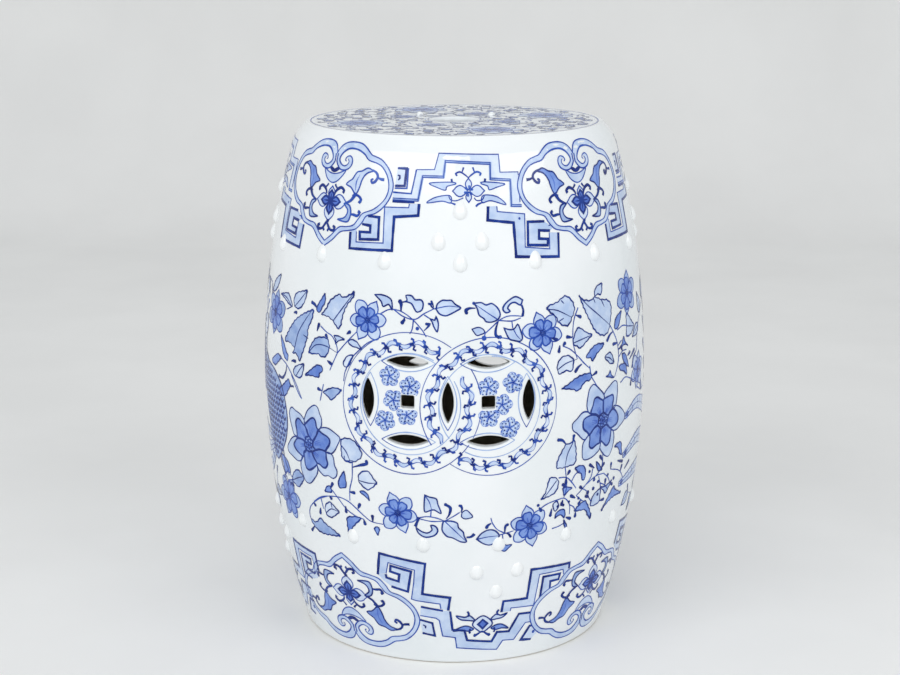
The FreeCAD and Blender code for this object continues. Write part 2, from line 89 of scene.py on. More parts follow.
def wall_radius(z):
    """Outside radius of the barrel at a height, and the slope's normal there."""
    if z <= SHOULDER:
        rise = z - BELLY_HEIGHT
        reach = math.sqrt(ARC ** 2 - rise ** 2)
        return AXIS_OFFSET + reach, (reach / ARC, rise / ARC)
    lean = math.asin((SHOULDER - BELLY_HEIGHT) / ARC)
    start = AXIS_OFFSET + ARC * math.cos(lean)
    chord = (RIM - start, HEIGHT - SHOULDER)
    inward = -(chord[0] * math.cos(lean) + chord[1] * math.sin(lean))
    bend = (chord[0] ** 2 + chord[1] ** 2) / (2 * inward)
    centre = (start - bend * math.cos(lean), SHOULDER - bend * math.sin(lean))
    rise = min(z - centre[1], bend)
    reach = math.sqrt(bend ** 2 - rise ** 2)
    return centre[0] + reach, (reach / bend, rise / bend)


def on_wall(u, v, lift):
    """Place and normal on the barrel, in metres, for a place of the painting."""
    radius, (out, up) = wall_radius(v)
    turn = u / BELLY
    east = math.sin(turn)
    south = -math.cos(turn)
    far = radius + out * lift
    return Vector((east * far, south * far, v + up * lift)) * MM, Vector((east * out, south * out, up))


def on_seat(x, y, lift):
    return Vector((x, y, HEIGHT + lift)) * MM, Vector((0, 0, 1))


def wall_stretch(v):
    """True millimetres for one millimetre of u at a height."""
    return wall_radius(v)[0] / BELLY


def seat_stretch(_):
    return 1.0


def spread(points, closed=False, step=STROKE_STEP):
    """Points along a smooth curve through the given ones. A doubled point is a sharp corner."""
    count = len(points)
    if count < 3 and not closed:
        return straight(points, step)
    out = []
    for index in range(count if closed else count - 1):
        if closed:
            a, b, c, d = (points[(index + k) % count] for k in (-1, 0, 1, 2))
        else:
            b, c = points[index], points[index + 1]
            a = points[index - 1] if index else (2 * b[0] - c[0], 2 * b[1] - c[1])
            d = points[index + 2] if index + 2 < count else (2 * c[0] - b[0], 2 * c[1] - b[1])
        gap = math.dist(b, c)
        if not gap:
            continue
        pieces = max(1, round(gap / step))
        for piece in range(pieces):
            t = piece / pieces
            out.append(tuple(
                0.5 * (2 * b[k] + (c[k] - a[k]) * t + (2 * a[k] - 5 * b[k] + 4 * c[k] - d[k]) * t * t
                       + (3 * b[k] - a[k] - 3 * c[k] + d[k]) * t ** 3) for k in (0, 1)))
    if not closed:
        out.append(tuple(points[-1]))
    return out


def straight(points, step=STRAIGHT_STEP):
    """Points along straight runs, with the corners kept."""
    out = []
    for b, c in zip(points, points[1:]):
        pieces = max(1, round(math.dist(b, c) / step))
        out += [(b[0] + (c[0] - b[0]) * k / pieces, b[1] + (c[1] - b[1]) * k / pieces)
                for k in range(pieces)]
    out.append(tuple(points[-1]))
    return out


def inside(outline, u, v):
    """Whether a place lies inside a closed outline."""
    hit = False
    au, av = outline[-1]
    for bu, bv in outline:
        if (av > v) != (bv > v) and u < (bu - au) * (v - av) / (bv - av) + au:
            hit = not hit
        au, av = bu, bv
    return hit


def limits(outline):
    """Lowest and highest u, then lowest and highest v."""
    us = [u for u, _ in outline]
    vs = [v for _, v in outline]
    return min(us), max(us), min(vs), max(vs)


def unit(vector, other):
    """A vector at length 1. One without length gives way to the other."""
    size = math.hypot(*vector)
    if size < TINY:
        return other if math.hypot(*other) > TINY else (1.0, 0.0)
    return (vector[0] / size, vector[1] / size)


def share_at(shares, place):
    """The share at a place from 0 to 1 along a row of them."""
    if not shares:
        return 1.0
    spot = place * (len(shares) - 1)
    low = min(int(spot), len(shares) - 2)
    return shares[low] + (shares[low + 1] - shares[low]) * (spot - low)


def turned(points, centre, degrees, size=1.0, flip=False):
    """Points of a unit motif, turned, scaled and set down at a place."""
    turn = math.radians(degrees)
    out = []
    for x, y in points:
        y = -y if flip else y
        out.append((centre[0] + size * (x * math.cos(turn) - y * math.sin(turn)),
                    centre[1] + size * (x * math.sin(turn) + y * math.cos(turn))))
    return out


def arc_points(centre, radius, start, end, count):
    step = (end - start) / count
    return [(centre[0] + radius * math.cos(math.radians(start + step * k)),
             centre[1] + radius * math.sin(math.radians(start + step * k))) for k in range(count + 1)]


def mirrored(points):
    return [(-x, y) for x, y in points]


def beside(middle, way, points):
    """Points counted from a middle u, to its right (way 1) or to its left (way -1)."""
    return [(middle + way * u, v) for u, v in points]


class Painting:
    """Brush work that becomes one piece: its mesh has one material for each tone."""

    def __init__(self, name, place, stretch):
        self.name = name
        self.place = place
        self.stretch = stretch
        self.move = lambda u, v: (u, v)
        self.masks = []
        self.points = []
        self.normals = []
        self.faces = []
        self.tones = []
        self.count = 0

    def lift(self, tone):
        self.count += 1
        return LIFTS[tone] + STEP_LIFT * (self.count % LIFT_STEPS)

    def add(self, u, v, lift):
        point, normal = self.place(u, v, lift)
        self.points.append(point)
        self.normals.append(normal)
        return len(self.points) - 1

    def face(self, corners, tone):
        self.faces.append(corners)
        self.tones.append(TONES.index(tone))

    def mask(self, points):
        """Keeps the brush out of a closed outline until the masks are cleared."""
        outline = spread([self.move(*point) for point in points], True, EDGE_STEP)
        self.masks.append((outline, limits(outline)))

    def masked(self, u, v):
        return any(low_u < u < high_u and low_v < v < high_v and inside(outline, u, v)
                   for outline, (low_u, high_u, low_v, high_v) in self.masks)

    @contextmanager
    def behind(self, outlines):
        """Keeps the brush out of outlines while what lies behind them is drawn."""
        kept = len(self.masks)
        for outline in outlines:
            self.mask(outline)
        yield
        del self.masks[kept:]

    def stroke(self, points, width, tone=None, closed=False, sharp=False, widths=None, shake=SHAKE):
        """A ribbon along a path. widths gives shares of the width along it, from start to end."""
        tone = tone or ("line" if width >= HEAVY_STROKE else "ink")
        points = [self.move(*point) for point in points]
        if sharp:
            path = straight(points + points[:1] if closed else points)
            path = path[:-1] if closed else path
        else:
            path = spread(points, closed)
        lift = self.lift(tone)
        count = len(path)
        last = None
        first = None
        for index, (u, v) in enumerate(path):
            if self.masked(u, v):
                last = None
                continue
            before = path[index - 1] if index or closed else path[index]
            after = path[(index + 1) % count] if index + 1 < count or closed else path[index]
            scale = self.stretch(v)
            one = ((u - before[0]) * scale, v - before[1])
            two = ((after[0] - u) * scale, after[1] - v)
            one = unit(one, two)
            two = unit(two, one)
            along = unit((one[0] + two[0], one[1] + two[1]), two)
            mitre = 1 / max(LEAST_COSINE, along[0] * two[0] + along[1] * two[1])
            share = share_at(widths, index / max(1, count - 1))
            wave = noise.noise(Vector((u / WAVER_LENGTH, v / WAVER_LENGTH, self.count * WAVER_SHIFT)))
            half = width / 2 * share * (1 + shake * 2 * wave) * mitre
            across = (-along[1] * half / scale, along[0] * half)
            pair = [self.add(u + way * across[0], v + way * across[1], lift) for way in (-1, 1)]
            if last:
                self.face((last[0], pair[0], pair[1], last[1]), tone)
            if index == 0:
                first = pair
            last = pair
        if closed and first and last:
            self.face((last[0], first[0], first[1], last[1]), tone)

    def strokes(self, rows, tone=None, put=list):
        """Several strokes. Each row has the points, the width and its shares, and put places the points."""
        for points, width, widths in rows:
            self.stroke(put(points), width, tone, widths=widths)

    @staticmethod
    def grid(outline, box):
        """Points inside an outline, in staggered rows, clear of its edge."""
        low_u, high_u, low_v, high_v = box
        spots = []
        row = 0
        v = low_v + FILL_STEP / 2
        while v < high_v:
            u = low_u + FILL_STEP / 2 * (1 + row % 2)
            while u < high_u:
                if inside(outline, u, v) and all(math.dist((u, v), p) > FILL_STEP / 2 for p in outline):
                    spots.append((u, v))
                u += FILL_STEP
            v += FILL_STEP
            row += 1
        return spots

    def fill(self, points, tone="wash", sharp=False, edge=0.0, edge_tone="ink", widths=None):
        """A wash inside a closed outline, with an optional outline stroke."""
        moved = [self.move(*point) for point in points]
        outline = straight(moved + moved[:1], FILL_STEP)[:-1] if sharp else spread(moved, True, EDGE_STEP)
        lift = self.lift(tone)
        box = limits(outline)
        near = [ring for ring, other in self.masks
                if other[0] < box[1] and other[1] > box[0] and other[2] < box[3] and other[3] > box[2]]
        verts = []
        edges = []
        for ring, spots in [(outline, self.grid(outline, box))] + [(ring, []) for ring in near]:
            start = len(verts)
            verts += [Vector(p) for p in ring + spots]
            edges += [(start + k, start + (k + 1) % len(ring)) for k in range(len(ring))]
        found = delaunay_2d_cdt(verts, edges, [], 0, SAME_POINT)
        index = {}
        for corners in found[2]:
            a, b, c = (found[0][k] for k in corners)
            middle = (a + b + c) / 3
            if not inside(outline, *middle) or any(inside(ring, *middle) for ring in near):
                continue
            for k in corners:
                if k not in index:
                    index[k] = self.add(found[0][k].x, found[0][k].y, lift)
            face = [index[k] for k in corners]
            if (b - a).cross(c - a) < 0:
                face.reverse()
            self.face(tuple(face), tone)
        if edge:
            self.stroke(points, edge, edge_tone, closed=True, sharp=sharp, widths=widths)

    def dot(self, centre, radius, tone="ink"):
        points = []
        for k in range(DOT_CORNERS):
            turn = 2 * math.pi * k / DOT_CORNERS
            points.append((centre[0] + radius * math.cos(turn), centre[1] + radius * math.sin(turn)))
        self.fill(points, tone)

    def build(self, materials):
        """Makes the mesh, with the glaze's normals and a map of the barrel for the bake."""
        mesh = bpy.data.meshes.new(self.name)
        mesh.from_pydata(self.points, [], self.faces)
        for tone in TONES:
            mesh.materials.append(materials[tone])
        mesh.polygons.foreach_set("material_index", self.tones)
        mesh.polygons.foreach_set("use_smooth", [True] * len(self.faces))
        mesh.update()
        mesh.normals_split_custom_set_from_vertices(self.normals)
        bake_map = mesh.uv_layers.new(name="OFBake")
        spots = []
        for loop in mesh.loops:
            point = mesh.vertices[loop.vertex_index].co
            turn = math.atan2(point.x, -point.y) / (2 * math.pi) + 0.5
            spots += [turn, point.z / (HEIGHT * MM)]
        bake_map.data.foreach_set("uv", spots)
        piece = bpy.data.objects.new(self.name, mesh)
        bpy.context.scene.collection.objects.link(piece)
        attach(piece, "root")


# Flowers

# The outlines of the petals are shares of a petal's length.
OGEE_PETAL = [(1.0, 0.0), (1.0, 0.0), (0.88, 0.1), (0.72, 0.24), (0.48, 0.29), (0.2, 0.14), (0.08, 0.0),
              (0.2, -0.14), (0.48, -0.29), (0.72, -0.24), (0.88, -0.1)]
ROUND_PETAL = [(1.0, 0.0), (0.96, 0.12), (0.8, 0.27), (0.54, 0.32), (0.24, 0.18), (0.08, 0.0),
               (0.24, -0.18), (0.54, -0.32), (0.8, -0.27), (0.96, -0.1)]
LOBE_PETAL = [(0.12, 0.03), (0.3, 0.2), (0.56, 0.31), (0.84, 0.32), (0.97, 0.2), (0.99, 0.02), (1.0, -0.16),
              (0.86, -0.3), (0.56, -0.31), (0.3, -0.19), (0.12, -0.03)]

# Petals of the two large flowers, outer and inner ones, drawn about a middle on a sheet with its y
# down, and how many units of the sheet are a millimetre.
TRACED_UNITS = 14.1

LEFT_BLOOM = (
    (500, 590),
    ([(435, 290), (455, 235), (500, 160), (575, 95), (640, 65), (690, 85), (720, 150), (750, 215),
      (745, 300), (700, 355), (600, 400), (450, 345)],
     [(705, 365), (745, 325), (850, 310), (950, 345), (1030, 395), (1025, 440), (985, 510), (950, 570),
      (890, 620), (805, 615), (700, 500)],
     [(885, 625), (920, 670), (930, 760), (965, 830), (945, 900), (890, 935), (820, 915), (750, 930),
      (690, 900), (645, 850), (620, 700), (800, 620)],
     [(640, 870), (615, 945), (560, 1010), (500, 1070), (440, 1095), (380, 1080), (335, 1010), (305, 920),
      (315, 840), (345, 800), (450, 700), (600, 760)],
     [(335, 800), (320, 830), (240, 850), (150, 825), (50, 795), (15, 765), (15, 715), (60, 660),
      (130, 590), (215, 545), (270, 555), (400, 600)],
     [(220, 530), (160, 450), (125, 360), (110, 280), (130, 215), (180, 185), (260, 210), (350, 230),
      (420, 275), (440, 330), (450, 500)]),
    ([(440, 350), (490, 300), (560, 245), (610, 230), (645, 260), (660, 330), (685, 370), (660, 430),
      (610, 500), (570, 520), (505, 460), (480, 400)],
     [(685, 370), (760, 395), (840, 420), (875, 460), (860, 520), (820, 570), (790, 605), (700, 605),
      (640, 625), (580, 590), (590, 520), (650, 440)],
     [(640, 625), (700, 605), (795, 615), (805, 700), (820, 760), (790, 815), (740, 825), (680, 795),
      (640, 790), (590, 735), (560, 670)],
     [(560, 670), (590, 735), (635, 800), (600, 840), (530, 890), (470, 915), (425, 900), (400, 840),
      (400, 760), (390, 710), (440, 670), (500, 675)],
     [(440, 670), (395, 715), (375, 765), (300, 745), (230, 715), (180, 660), (215, 605), (275, 555),
      (370, 545), (420, 560), (420, 610)],
     [(430, 560), (370, 545), (280, 540), (265, 450), (250, 360), (280, 310), (330, 295), (400, 340),
      (450, 370), (490, 450), (500, 480), (440, 510)]),
)

RIGHT_BLOOM = (
    (560, 510),
    ([(330, 380), (285, 340), (265, 260), (285, 150), (310, 75), (370, 30), (430, 60), (500, 120),
      (560, 180), (580, 220), (560, 270), (440, 330)],
     [(575, 220), (590, 170), (670, 115), (780, 65), (840, 85), (860, 150), (855, 260), (830, 370),
      (770, 400), (640, 300)],
     [(770, 390), (820, 380), (910, 410), (1010, 480), (1080, 560), (1060, 610), (960, 660), (860, 695),
      (770, 680), (735, 650), (700, 560)],
     [(740, 660), (800, 710), (820, 800), (790, 920), (730, 995), (660, 985), (590, 930), (530, 850),
      (560, 760), (660, 700)],
     [(525, 860), (460, 910), (370, 945), (270, 950), (225, 910), (215, 800), (225, 730), (260, 690),
      (310, 650), (400, 650), (520, 760)],
     [(300, 650), (240, 690), (180, 650), (120, 590), (55, 540), (45, 460), (110, 410), (190, 350),
      (260, 345), (330, 385), (400, 480)]),
    ([(335, 380), (370, 290), (395, 215), (445, 200), (500, 230), (560, 270), (565, 340), (560, 410),
      (510, 430), (470, 445), (420, 405)],
     [(560, 265), (600, 240), (690, 230), (750, 230), (770, 280), (755, 350), (745, 400), (700, 440),
      (650, 465), (600, 430), (565, 400)],
     [(760, 410), (820, 440), (875, 500), (895, 560), (875, 610), (800, 635), (730, 640), (670, 605),
      (640, 570), (660, 500), (690, 445)],
     [(640, 580), (700, 630), (740, 660), (735, 740), (715, 820), (655, 850), (600, 810), (550, 770),
      (520, 770), (525, 690), (530, 620)],
     [(530, 620), (525, 690), (530, 775), (460, 795), (380, 825), (330, 785), (335, 700), (335, 640),
      (400, 580), (460, 555)],
     [(460, 550), (400, 580), (330, 640), (280, 600), (225, 555), (210, 490), (225, 435), (290, 410),
      (370, 405), (440, 420), (480, 460)]),
)

# A large flower, in millimetres: the knot in its middle, the knot's core and eye, and its seeds.
KNOT_SIZE = 9.5
CORE_SIZE = 4.2
EYE_SIZE = 1.5
SEEDS = 6
SEED_RING = 4.1
SEED_SIZE = 1.7

# The dark rays on an inner petal: how far they bend aside, and where they lie along the petal.
RAY_BENDS = (-0.13, 0.0, 0.13)
RAY_SHARES = (0.3, 0.45, 0.58)

# How far a small flower's inner lobes are turned from its outer petals, in degrees.
LOBE_TURN = 4


def large_flower(art, centre, bloom):
    """One of the two large flowers, petal by petal, with a knot of seeds in its middle."""
    origin, outer, inner = bloom

    def put(points):
        return [(centre[0] + (x - origin[0]) / TRACED_UNITS, centre[1] + (origin[1] - y) / TRACED_UNITS)
                for x, y in points]

    with art.behind([put(outline) for outline in inner]):
        for outline in outer:
            art.fill(put(outline), "wash", edge=1.15, edge_tone="line", widths=(0.9, 1, 0.7, 1.1, 0.8, 1))
    art.dot(centre, KNOT_SIZE, "petal")
    for outline in inner:
        art.fill(put(outline), "petal")
        far = max(outline, key=lambda point: math.dist(point, origin))
        base, tip = put([origin, far])
        along = (tip[0] - base[0], tip[1] - base[1])
        for bend in RAY_BENDS:
            ray = [(base[0] + along[0] * share - along[1] * bend * share,
                    base[1] + along[1] * share + along[0] * bend * share) for share in RAY_SHARES]
            art.stroke(ray, 1.3, "blend", widths=(1, 0.7, 0.2))
    for outline in inner:
        art.stroke(put(outline), 1.75, "line", closed=True, widths=(1.1, 0.8, 1.15, 0.75, 1.1, 0.9))
    art.dot(centre, CORE_SIZE, "blend")
    for k in range(SEEDS):
        spot = turned([(SEED_RING, 0.0)], centre, 360 / SEEDS * k + 10)[0]
        art.stroke(arc_points(spot, SEED_SIZE, 0, 330, 8), 0.85, "line")
    art.dot(centre, EYE_SIZE, "line")


def uneven(mean, swing, phase):
    """A share that differs from petal to petal, as in hand work."""
    return mean + swing * math.sin(phase)


def flower(art, centre, outer, inner, turn, petals=6, outer_tone="wash"):
    """A double flower: washed petals behind, deeper lobes in front, a ring of seeds in the middle."""
    step = 360 / petals
    lobes = []
    for k in range(petals):
        reach = inner * uneven(1, 0.08, 1.7 * k + turn)
        lobes.append((reach, turned(LOBE_PETAL, centre, turn + k * step + LOBE_TURN, reach, k % 2)))
    with art.behind([lobe for _, lobe in lobes]):
        for k in range(petals):
            reach = outer * uneven(1.05, 0.06, 2.3 * k + turn)
            petal = OGEE_PETAL if k % 3 == 1 else ROUND_PETAL
            art.fill(turned(petal, centre, turn + k * step, reach, k % 2), outer_tone, edge=1.0)
    for k, (reach, lobe) in enumerate(lobes):
        art.fill(lobe, "petal", edge=1.25, widths=(0.7, 1.1, 0.9, 1.3, 0.8))
        shade = turned([(0.2, 0.0), (0.4, 0.05), (0.66, 0.03)], centre, turn + k * step + LOBE_TURN, reach)
        art.stroke(shade, inner * 0.16, "blend", widths=(1, 0.8, 0.2))
    art.dot(centre, inner * 0.3, "petal")
    for k in range(petals):
        spot = turned([(0.19, 0.0)], centre, turn + (k + 0.5) * step, inner)[0]
        art.stroke(arc_points(spot, inner * 0.08, 0, 320, 6), 0.7, "line")
    art.dot(centre, inner * 0.07, "line")


# One petal of a blossom, with its size as 1: the strokes along its sides, its rim, its veins and
# stamens. A stroke is its points, width, tone and shares of the width along it.
PETAL_SIDES = (
    ([(0.5, -0.24), (0.62, -0.26), (0.8, -0.2)], 1.7, "mid", None),
    ([(0.5, 0.24), (0.62, 0.26), (0.84, 0.14)], 1.7, "mid", None),
)
PETAL_VEINS = (
    ([(0.14, 0.02), (0.52, 0.06)], 2.2, "petal", (1, 0.6)),
    ([(0.1, 0.0), (0.3, 0.09), (0.5, 0.16)], 0.85, "ink", (1.1, 0.7, 0.9)),
)
STAMENS = (
    (0.6, 0.2, 0.09, "line"), (0.5, -0.18, 0.08, "line"), (0.82, -0.06, 0.075, "ink"),
    (0.74, 0.24, 0.06, "blend"),
)


def blossom(art, centre, size, turn):
    """A small five-petalled blossom in a light wash, with a soft scalloped rim and dark stamens."""
    for angle in range(turn, turn + 360, 72):
        middle = turned([(0.6, 0.0)], centre, angle, size)[0]
        art.dot(middle, size * 0.41, "wash")
        rim = arc_points(middle, size * 0.4, angle - 100, angle + 100, 6)
        rims = ((rim[:3], 0.9, "blend", (0.4, 1.1, 0.5)), (rim[2:5], 0.6, "petal", (0.5, 1, 0.4)),
                (rim[4:], 1.0, "blend", (0.5, 1.1, 0.3)))
        sides, veins = ([(turned(points, centre, angle, size), *look) for points, *look in rows]
                        for rows in (PETAL_SIDES, PETAL_VEINS))
        for points, width, tone, widths in (*sides, *rims, *veins):
            art.stroke(points, width, tone, widths=widths)
        for along, across, share, tone in STAMENS:
            art.dot(turned([(along, across)], centre, angle, size)[0], size * share, tone)
    art.dot(centre, size * 0.13, "ink")


# Leaves and stems

# Scallops along the edge of a leaf: spacing of their points, depth and pitch. A leaf with an edge
# as long as FULL_FRILL has them at their full depth.
FRILL_STEP = 1.5
LEAF_FRILL = 0.9
LEAF_PITCH = 5.5
FULL_FRILL = 70.0

# Widths of the line about a leaf and of a stem, and the spacing of the points along a feather.
LEAF_LINE = 1.25
STEM_LINE = 1.05
FEATHER_STEP = 5.0

# How far along a leaf it is fullest.
LEAF_LOBE = 0.45


def frilled(points, depth):
    """A closed outline with the small scallops of a brushed leaf edge."""
    path = spread(points, True, FRILL_STEP)
    out = []
    travel = 0.0
    for before, here, after in zip(path[-1:] + path, path, path[1:] + path[:1]):
        travel += math.dist(before, here)
        along = (after[0] - before[0], after[1] - before[1])
        size = math.hypot(*along) or 1.0
        wave = depth * (abs(math.sin(math.pi * travel / LEAF_PITCH)) - 0.5)
        out.append((here[0] + along[1] / size * wave, here[1] - along[0] / size * wave))
    return out


def leaf(art, base, tip, width, tone="wash", line=1.15):
    """A pointed leaf with a fuller lower half and a vein."""
    length = math.dist(base, tip)
    degrees = math.degrees(math.atan2(tip[1] - base[1], tip[0] - base[0]))
    half = width / 2 / length
    lobe = LEAF_LOBE
    side = [(1.0, 0.0), (1.0, 0.0), (0.84, -half * 0.3), (lobe + 0.2, -half * 0.66),
            (lobe + 0.06, -half * 0.9), (lobe * 0.7, -half), (0.1, -half * 0.6), (0.0, 0.0),
            (0.12, half * 0.75), (lobe * 0.8, half), (lobe + 0.12, half * 0.86),
            (lobe + 0.22, half * 0.7), (0.86, half * 0.26)]
    art.fill(turned(side, base, degrees, length), tone, edge=line, edge_tone="line")
    vein = turned([(0.0, 0.0), (0.4, 0.0), (0.8, 0.0)], base, degrees, length)
    art.stroke(vein, line * 0.75, widths=(1, 1, 0.4))


def shape(art, points, tone="wash", line=LEAF_LINE, vein=None):
    """A leaf or bud with its own outline, which starts at its sharp tip."""
    art.fill(points[:1] + points, tone, edge=line, edge_tone="line")
    if vein:
        art.stroke(vein, line * 0.8, widths=(1, 0.8, 0.4))


def comma(art, points, width=2.2):
    """A brush stroke that starts thin and ends full and round."""
    art.stroke(points, width * 1.15, "line", widths=(0.35, 0.65, 1.0, 0.95))
    art.dot(points[-1], width * 0.68, "line")


def twigs(art, *stems):
    for stem in stems:
        art.stroke(stem, STEM_LINE, "ink", widths=(1, 0.85, 1, 0.7))


def foliage(art, leaves, stems, drops):
    """A stretch of the garden: its stems, then its leaves, then its drops."""
    twigs(art, *stems)
    for tone, outline, *veins in leaves:
        length = sum(math.dist(a, b) for a, b in zip(outline, outline[1:]))
        edge = frilled(outline[:1] + outline, LEAF_FRILL * min(1.0, length / FULL_FRILL))
        art.fill(edge, tone, sharp=True)
        art.stroke(edge + edge[:1], LEAF_LINE, "line", sharp=True,
                   widths=(1.3, 0.7, 1.1, 0.6, 1.2, 0.75, 1.3))
        for vein in veins:
            art.stroke(vein, 1.0, "line", widths=(0.8, 1, 0.4))
    for drop in drops:
        comma(art, drop, 2.4)


def fret(art, outer, inner, hook, close):
    """A washed band between its heavy outer and light inner line, and the washed hook inside it."""
    art.fill(outer + inner[::-1], "wash", sharp=True)
    art.fill(hook + close, "wash", sharp=True)
    art.stroke(hook, 2.2, sharp=True)
    art.stroke(outer, 2.3, sharp=True)
    art.stroke(inner, 0.9, sharp=True)


def feather(art, spine, width, tone, barbs, eye=0.0):
    """A long feather: a washed blade about a curved quill, with barbs and perhaps an eye at its tip."""
    path = spread(spine, step=FEATHER_STEP)
    count = len(path) - 1
    sides = ([], [])
    for k, here in enumerate(path):
        before, after = path[max(0, k - 1)], path[min(count, k + 1)]
        size = math.dist(before, after)
        across = ((before[1] - after[1]) / size, (after[0] - before[0]) / size)
        half = width / 2 * (0.3 + 0.7 * math.sin(math.pi * min(1.0, 0.1 + 0.9 * (k / count) ** 1.4)))
        for side, way in zip(sides, (1, -1)):
            side.append((here[0] + across[0] * half * way, here[1] + across[1] * half * way))
    art.fill(sides[0] + [path[-1]] + sides[1][::-1], tone, edge=0.9)
    art.stroke(spine, 1.0, widths=(1, 0.8, 0.5))
    for k in range(1, barbs):
        spot = round(k / barbs * count)
        if 0 < spot < count:
            for side in sides:
                art.stroke([path[spot], side[spot + 1]], 0.7, widths=(1, 0.4))
    if eye:
        for share, ring_tone in ((1.0, "pale"), (0.7, "petal"), (0.35, "line")):
            art.dot(path[-2], eye * share, ring_tone)


# Ruyi heads

# The left half of a ruyi head: its outer and inner line and the curl at its end, the shield and
# the crown in its middle, and its horn and leaf.
RUYI_OUTER = [(0, 364.4), (-9, 370), (-18, 377.5), (-27, 379.5), (-35, 381.5), (-41, 387), (-45, 392.5),
              (-53.5, 395), (-61, 400), (-67, 407.5), (-69.7, 416.3), (-68, 424), (-63.5, 431.3),
              (-56, 437.5), (-48.5, 440), (-43.5, 441.3), (-37, 445.6), (-30, 448.8), (-21, 450),
              (-11, 449.4), (-4.7, 446.9), (-1.2, 443), (0, 440)]
RUYI_INNER = [(0, 368.8), (-8, 374.4), (-16, 381.3), (-25, 382.5), (-32, 384.4), (-37, 390), (-41, 394.4),
              (-51, 398), (-58.5, 403), (-63.5, 408.8), (-65.4, 416.3), (-63, 425), (-57, 432), (-50, 435),
              (-41, 437), (-35, 441.3), (-26, 444.4), (-16, 444.8), (-10, 442.5), (-6, 438.8), (-5, 435),
              (-8, 432), (-12, 430.6), (-16, 432), (-17.4, 434.6), (-15.6, 436.6)]
RUYI_CURL = [(-1.6, 440), (-1.2, 435), (-2, 432.5), (-7, 428), (-13.5, 427.3), (-19, 429.4), (-21.6, 433),
             (-21, 437), (-18, 439), (-14, 438), (-12.5, 435.6), (-14, 434.4)]
RUYI_SHIELD = [(-13.5, 427), (-10, 421), (-5, 417.5), (0, 416.3), (5, 417.5), (10, 421), (15, 427),
               (7, 424.6), (0, 423.6), (-7, 424.6)]
RUYI_CROWN = [(-7, 428.4), (-4, 425.6), (0, 424.6), (4, 425.6), (7.5, 428.4), (3, 429), (0, 427.6),
              (-3, 429)]
RUYI_HORN = [(-18.5, 416.3), (-21.5, 419), (-25, 421), (-27.5, 424.6), (-30, 427), (-35, 428), (-41, 430.6),
             (-46, 429.4), (-48.5, 428.8), (-42, 427), (-38.6, 424.6), (-37, 422.5), (-35.4, 419.5),
             (-35, 417.5), (-33, 412), (-30.4, 408.8), (-27, 412), (-24, 414.4)]
RUYI_LEAF = [(-19, 400.6), (-25, 399.8), (-27.6, 395), (-27, 389.4), (-24, 386.2), (-13.6, 387.4),
             (-19.5, 388.8), (-23, 391.6), (-23.8, 396)]

# Its curls: points, width, and shares of the width along them.
HORN_CURLS = (
    ([(-46, 429.4), (-51, 427.4), (-53, 424), (-50.6, 420.4), (-47.4, 419.2), (-46.4, 421.4),
      (-48.4, 422.4)], 2.1, (0.8, 0.9, 1, 1.2, 1, 0.8)),
    ([(-53.2, 423.6), (-56, 422.6), (-60, 422.2)], 2.1, (0.6, 1, 1.2)),
    ([(-31, 410), (-28, 405.6), (-25, 403), (-19, 400.6)], 2.5, (1.3, 1, 0.9, 0.6)),
    ([(-27, 407.6), (-31, 408.6), (-35, 407.5), (-37.4, 405), (-36.4, 402.8), (-34.8, 403.6)], 2.1,
     (0.7, 1, 1, 1.2, 0.9)),
)
LEAF_CURLS = (
    ([(-27.4, 392.6), (-31, 392.6), (-35.4, 392), (-37.4, 394.8), (-35.4, 395.8)], 2.3, (0.6, 1, 1, 1.1)),
)
HEAD_CURLS = (
    ([(-5.4, 406.8), (-6, 409), (-9, 411.8), (-13.2, 413.2), (-16.6, 411), (-15.5, 408.9)], 2.3,
     (0.7, 0.9, 1, 1, 1.1)),
    ([(-9, 411.8), (-6.6, 413), (-4.5, 415.2)], 1.8, (0.6, 1)),
    ([(0.6, 385), (-2, 382), (-5, 378.6), (-9.6, 378), (-10.8, 380.6), (-8.4, 381.6)], 2.2,
     (0.9, 1, 1, 1.1, 1)),
    ([(-4, 379.4), (-2, 376.8)], 2.0, None),
)

# Its flower: the middle, and for each petal its direction, length and breadth.
RUYI_MIDDLE = (1.3, 401.5)
RUYI_PETALS = ((0, 20, 1.0), (180, 19, 1.0), (90, 12, 1.25), (270, 16.6, 1.3))
RUYI_HEARTS = ((0, 12.4, 0.95), (180, 12.4, 0.95), (90, 8.6, 1.3), (270, 10.6, 1.2))


def broad_petal(middle, degrees, length, breadth):
    return turned([(x, y * breadth) for x, y in OGEE_PETAL], middle, degrees, length)


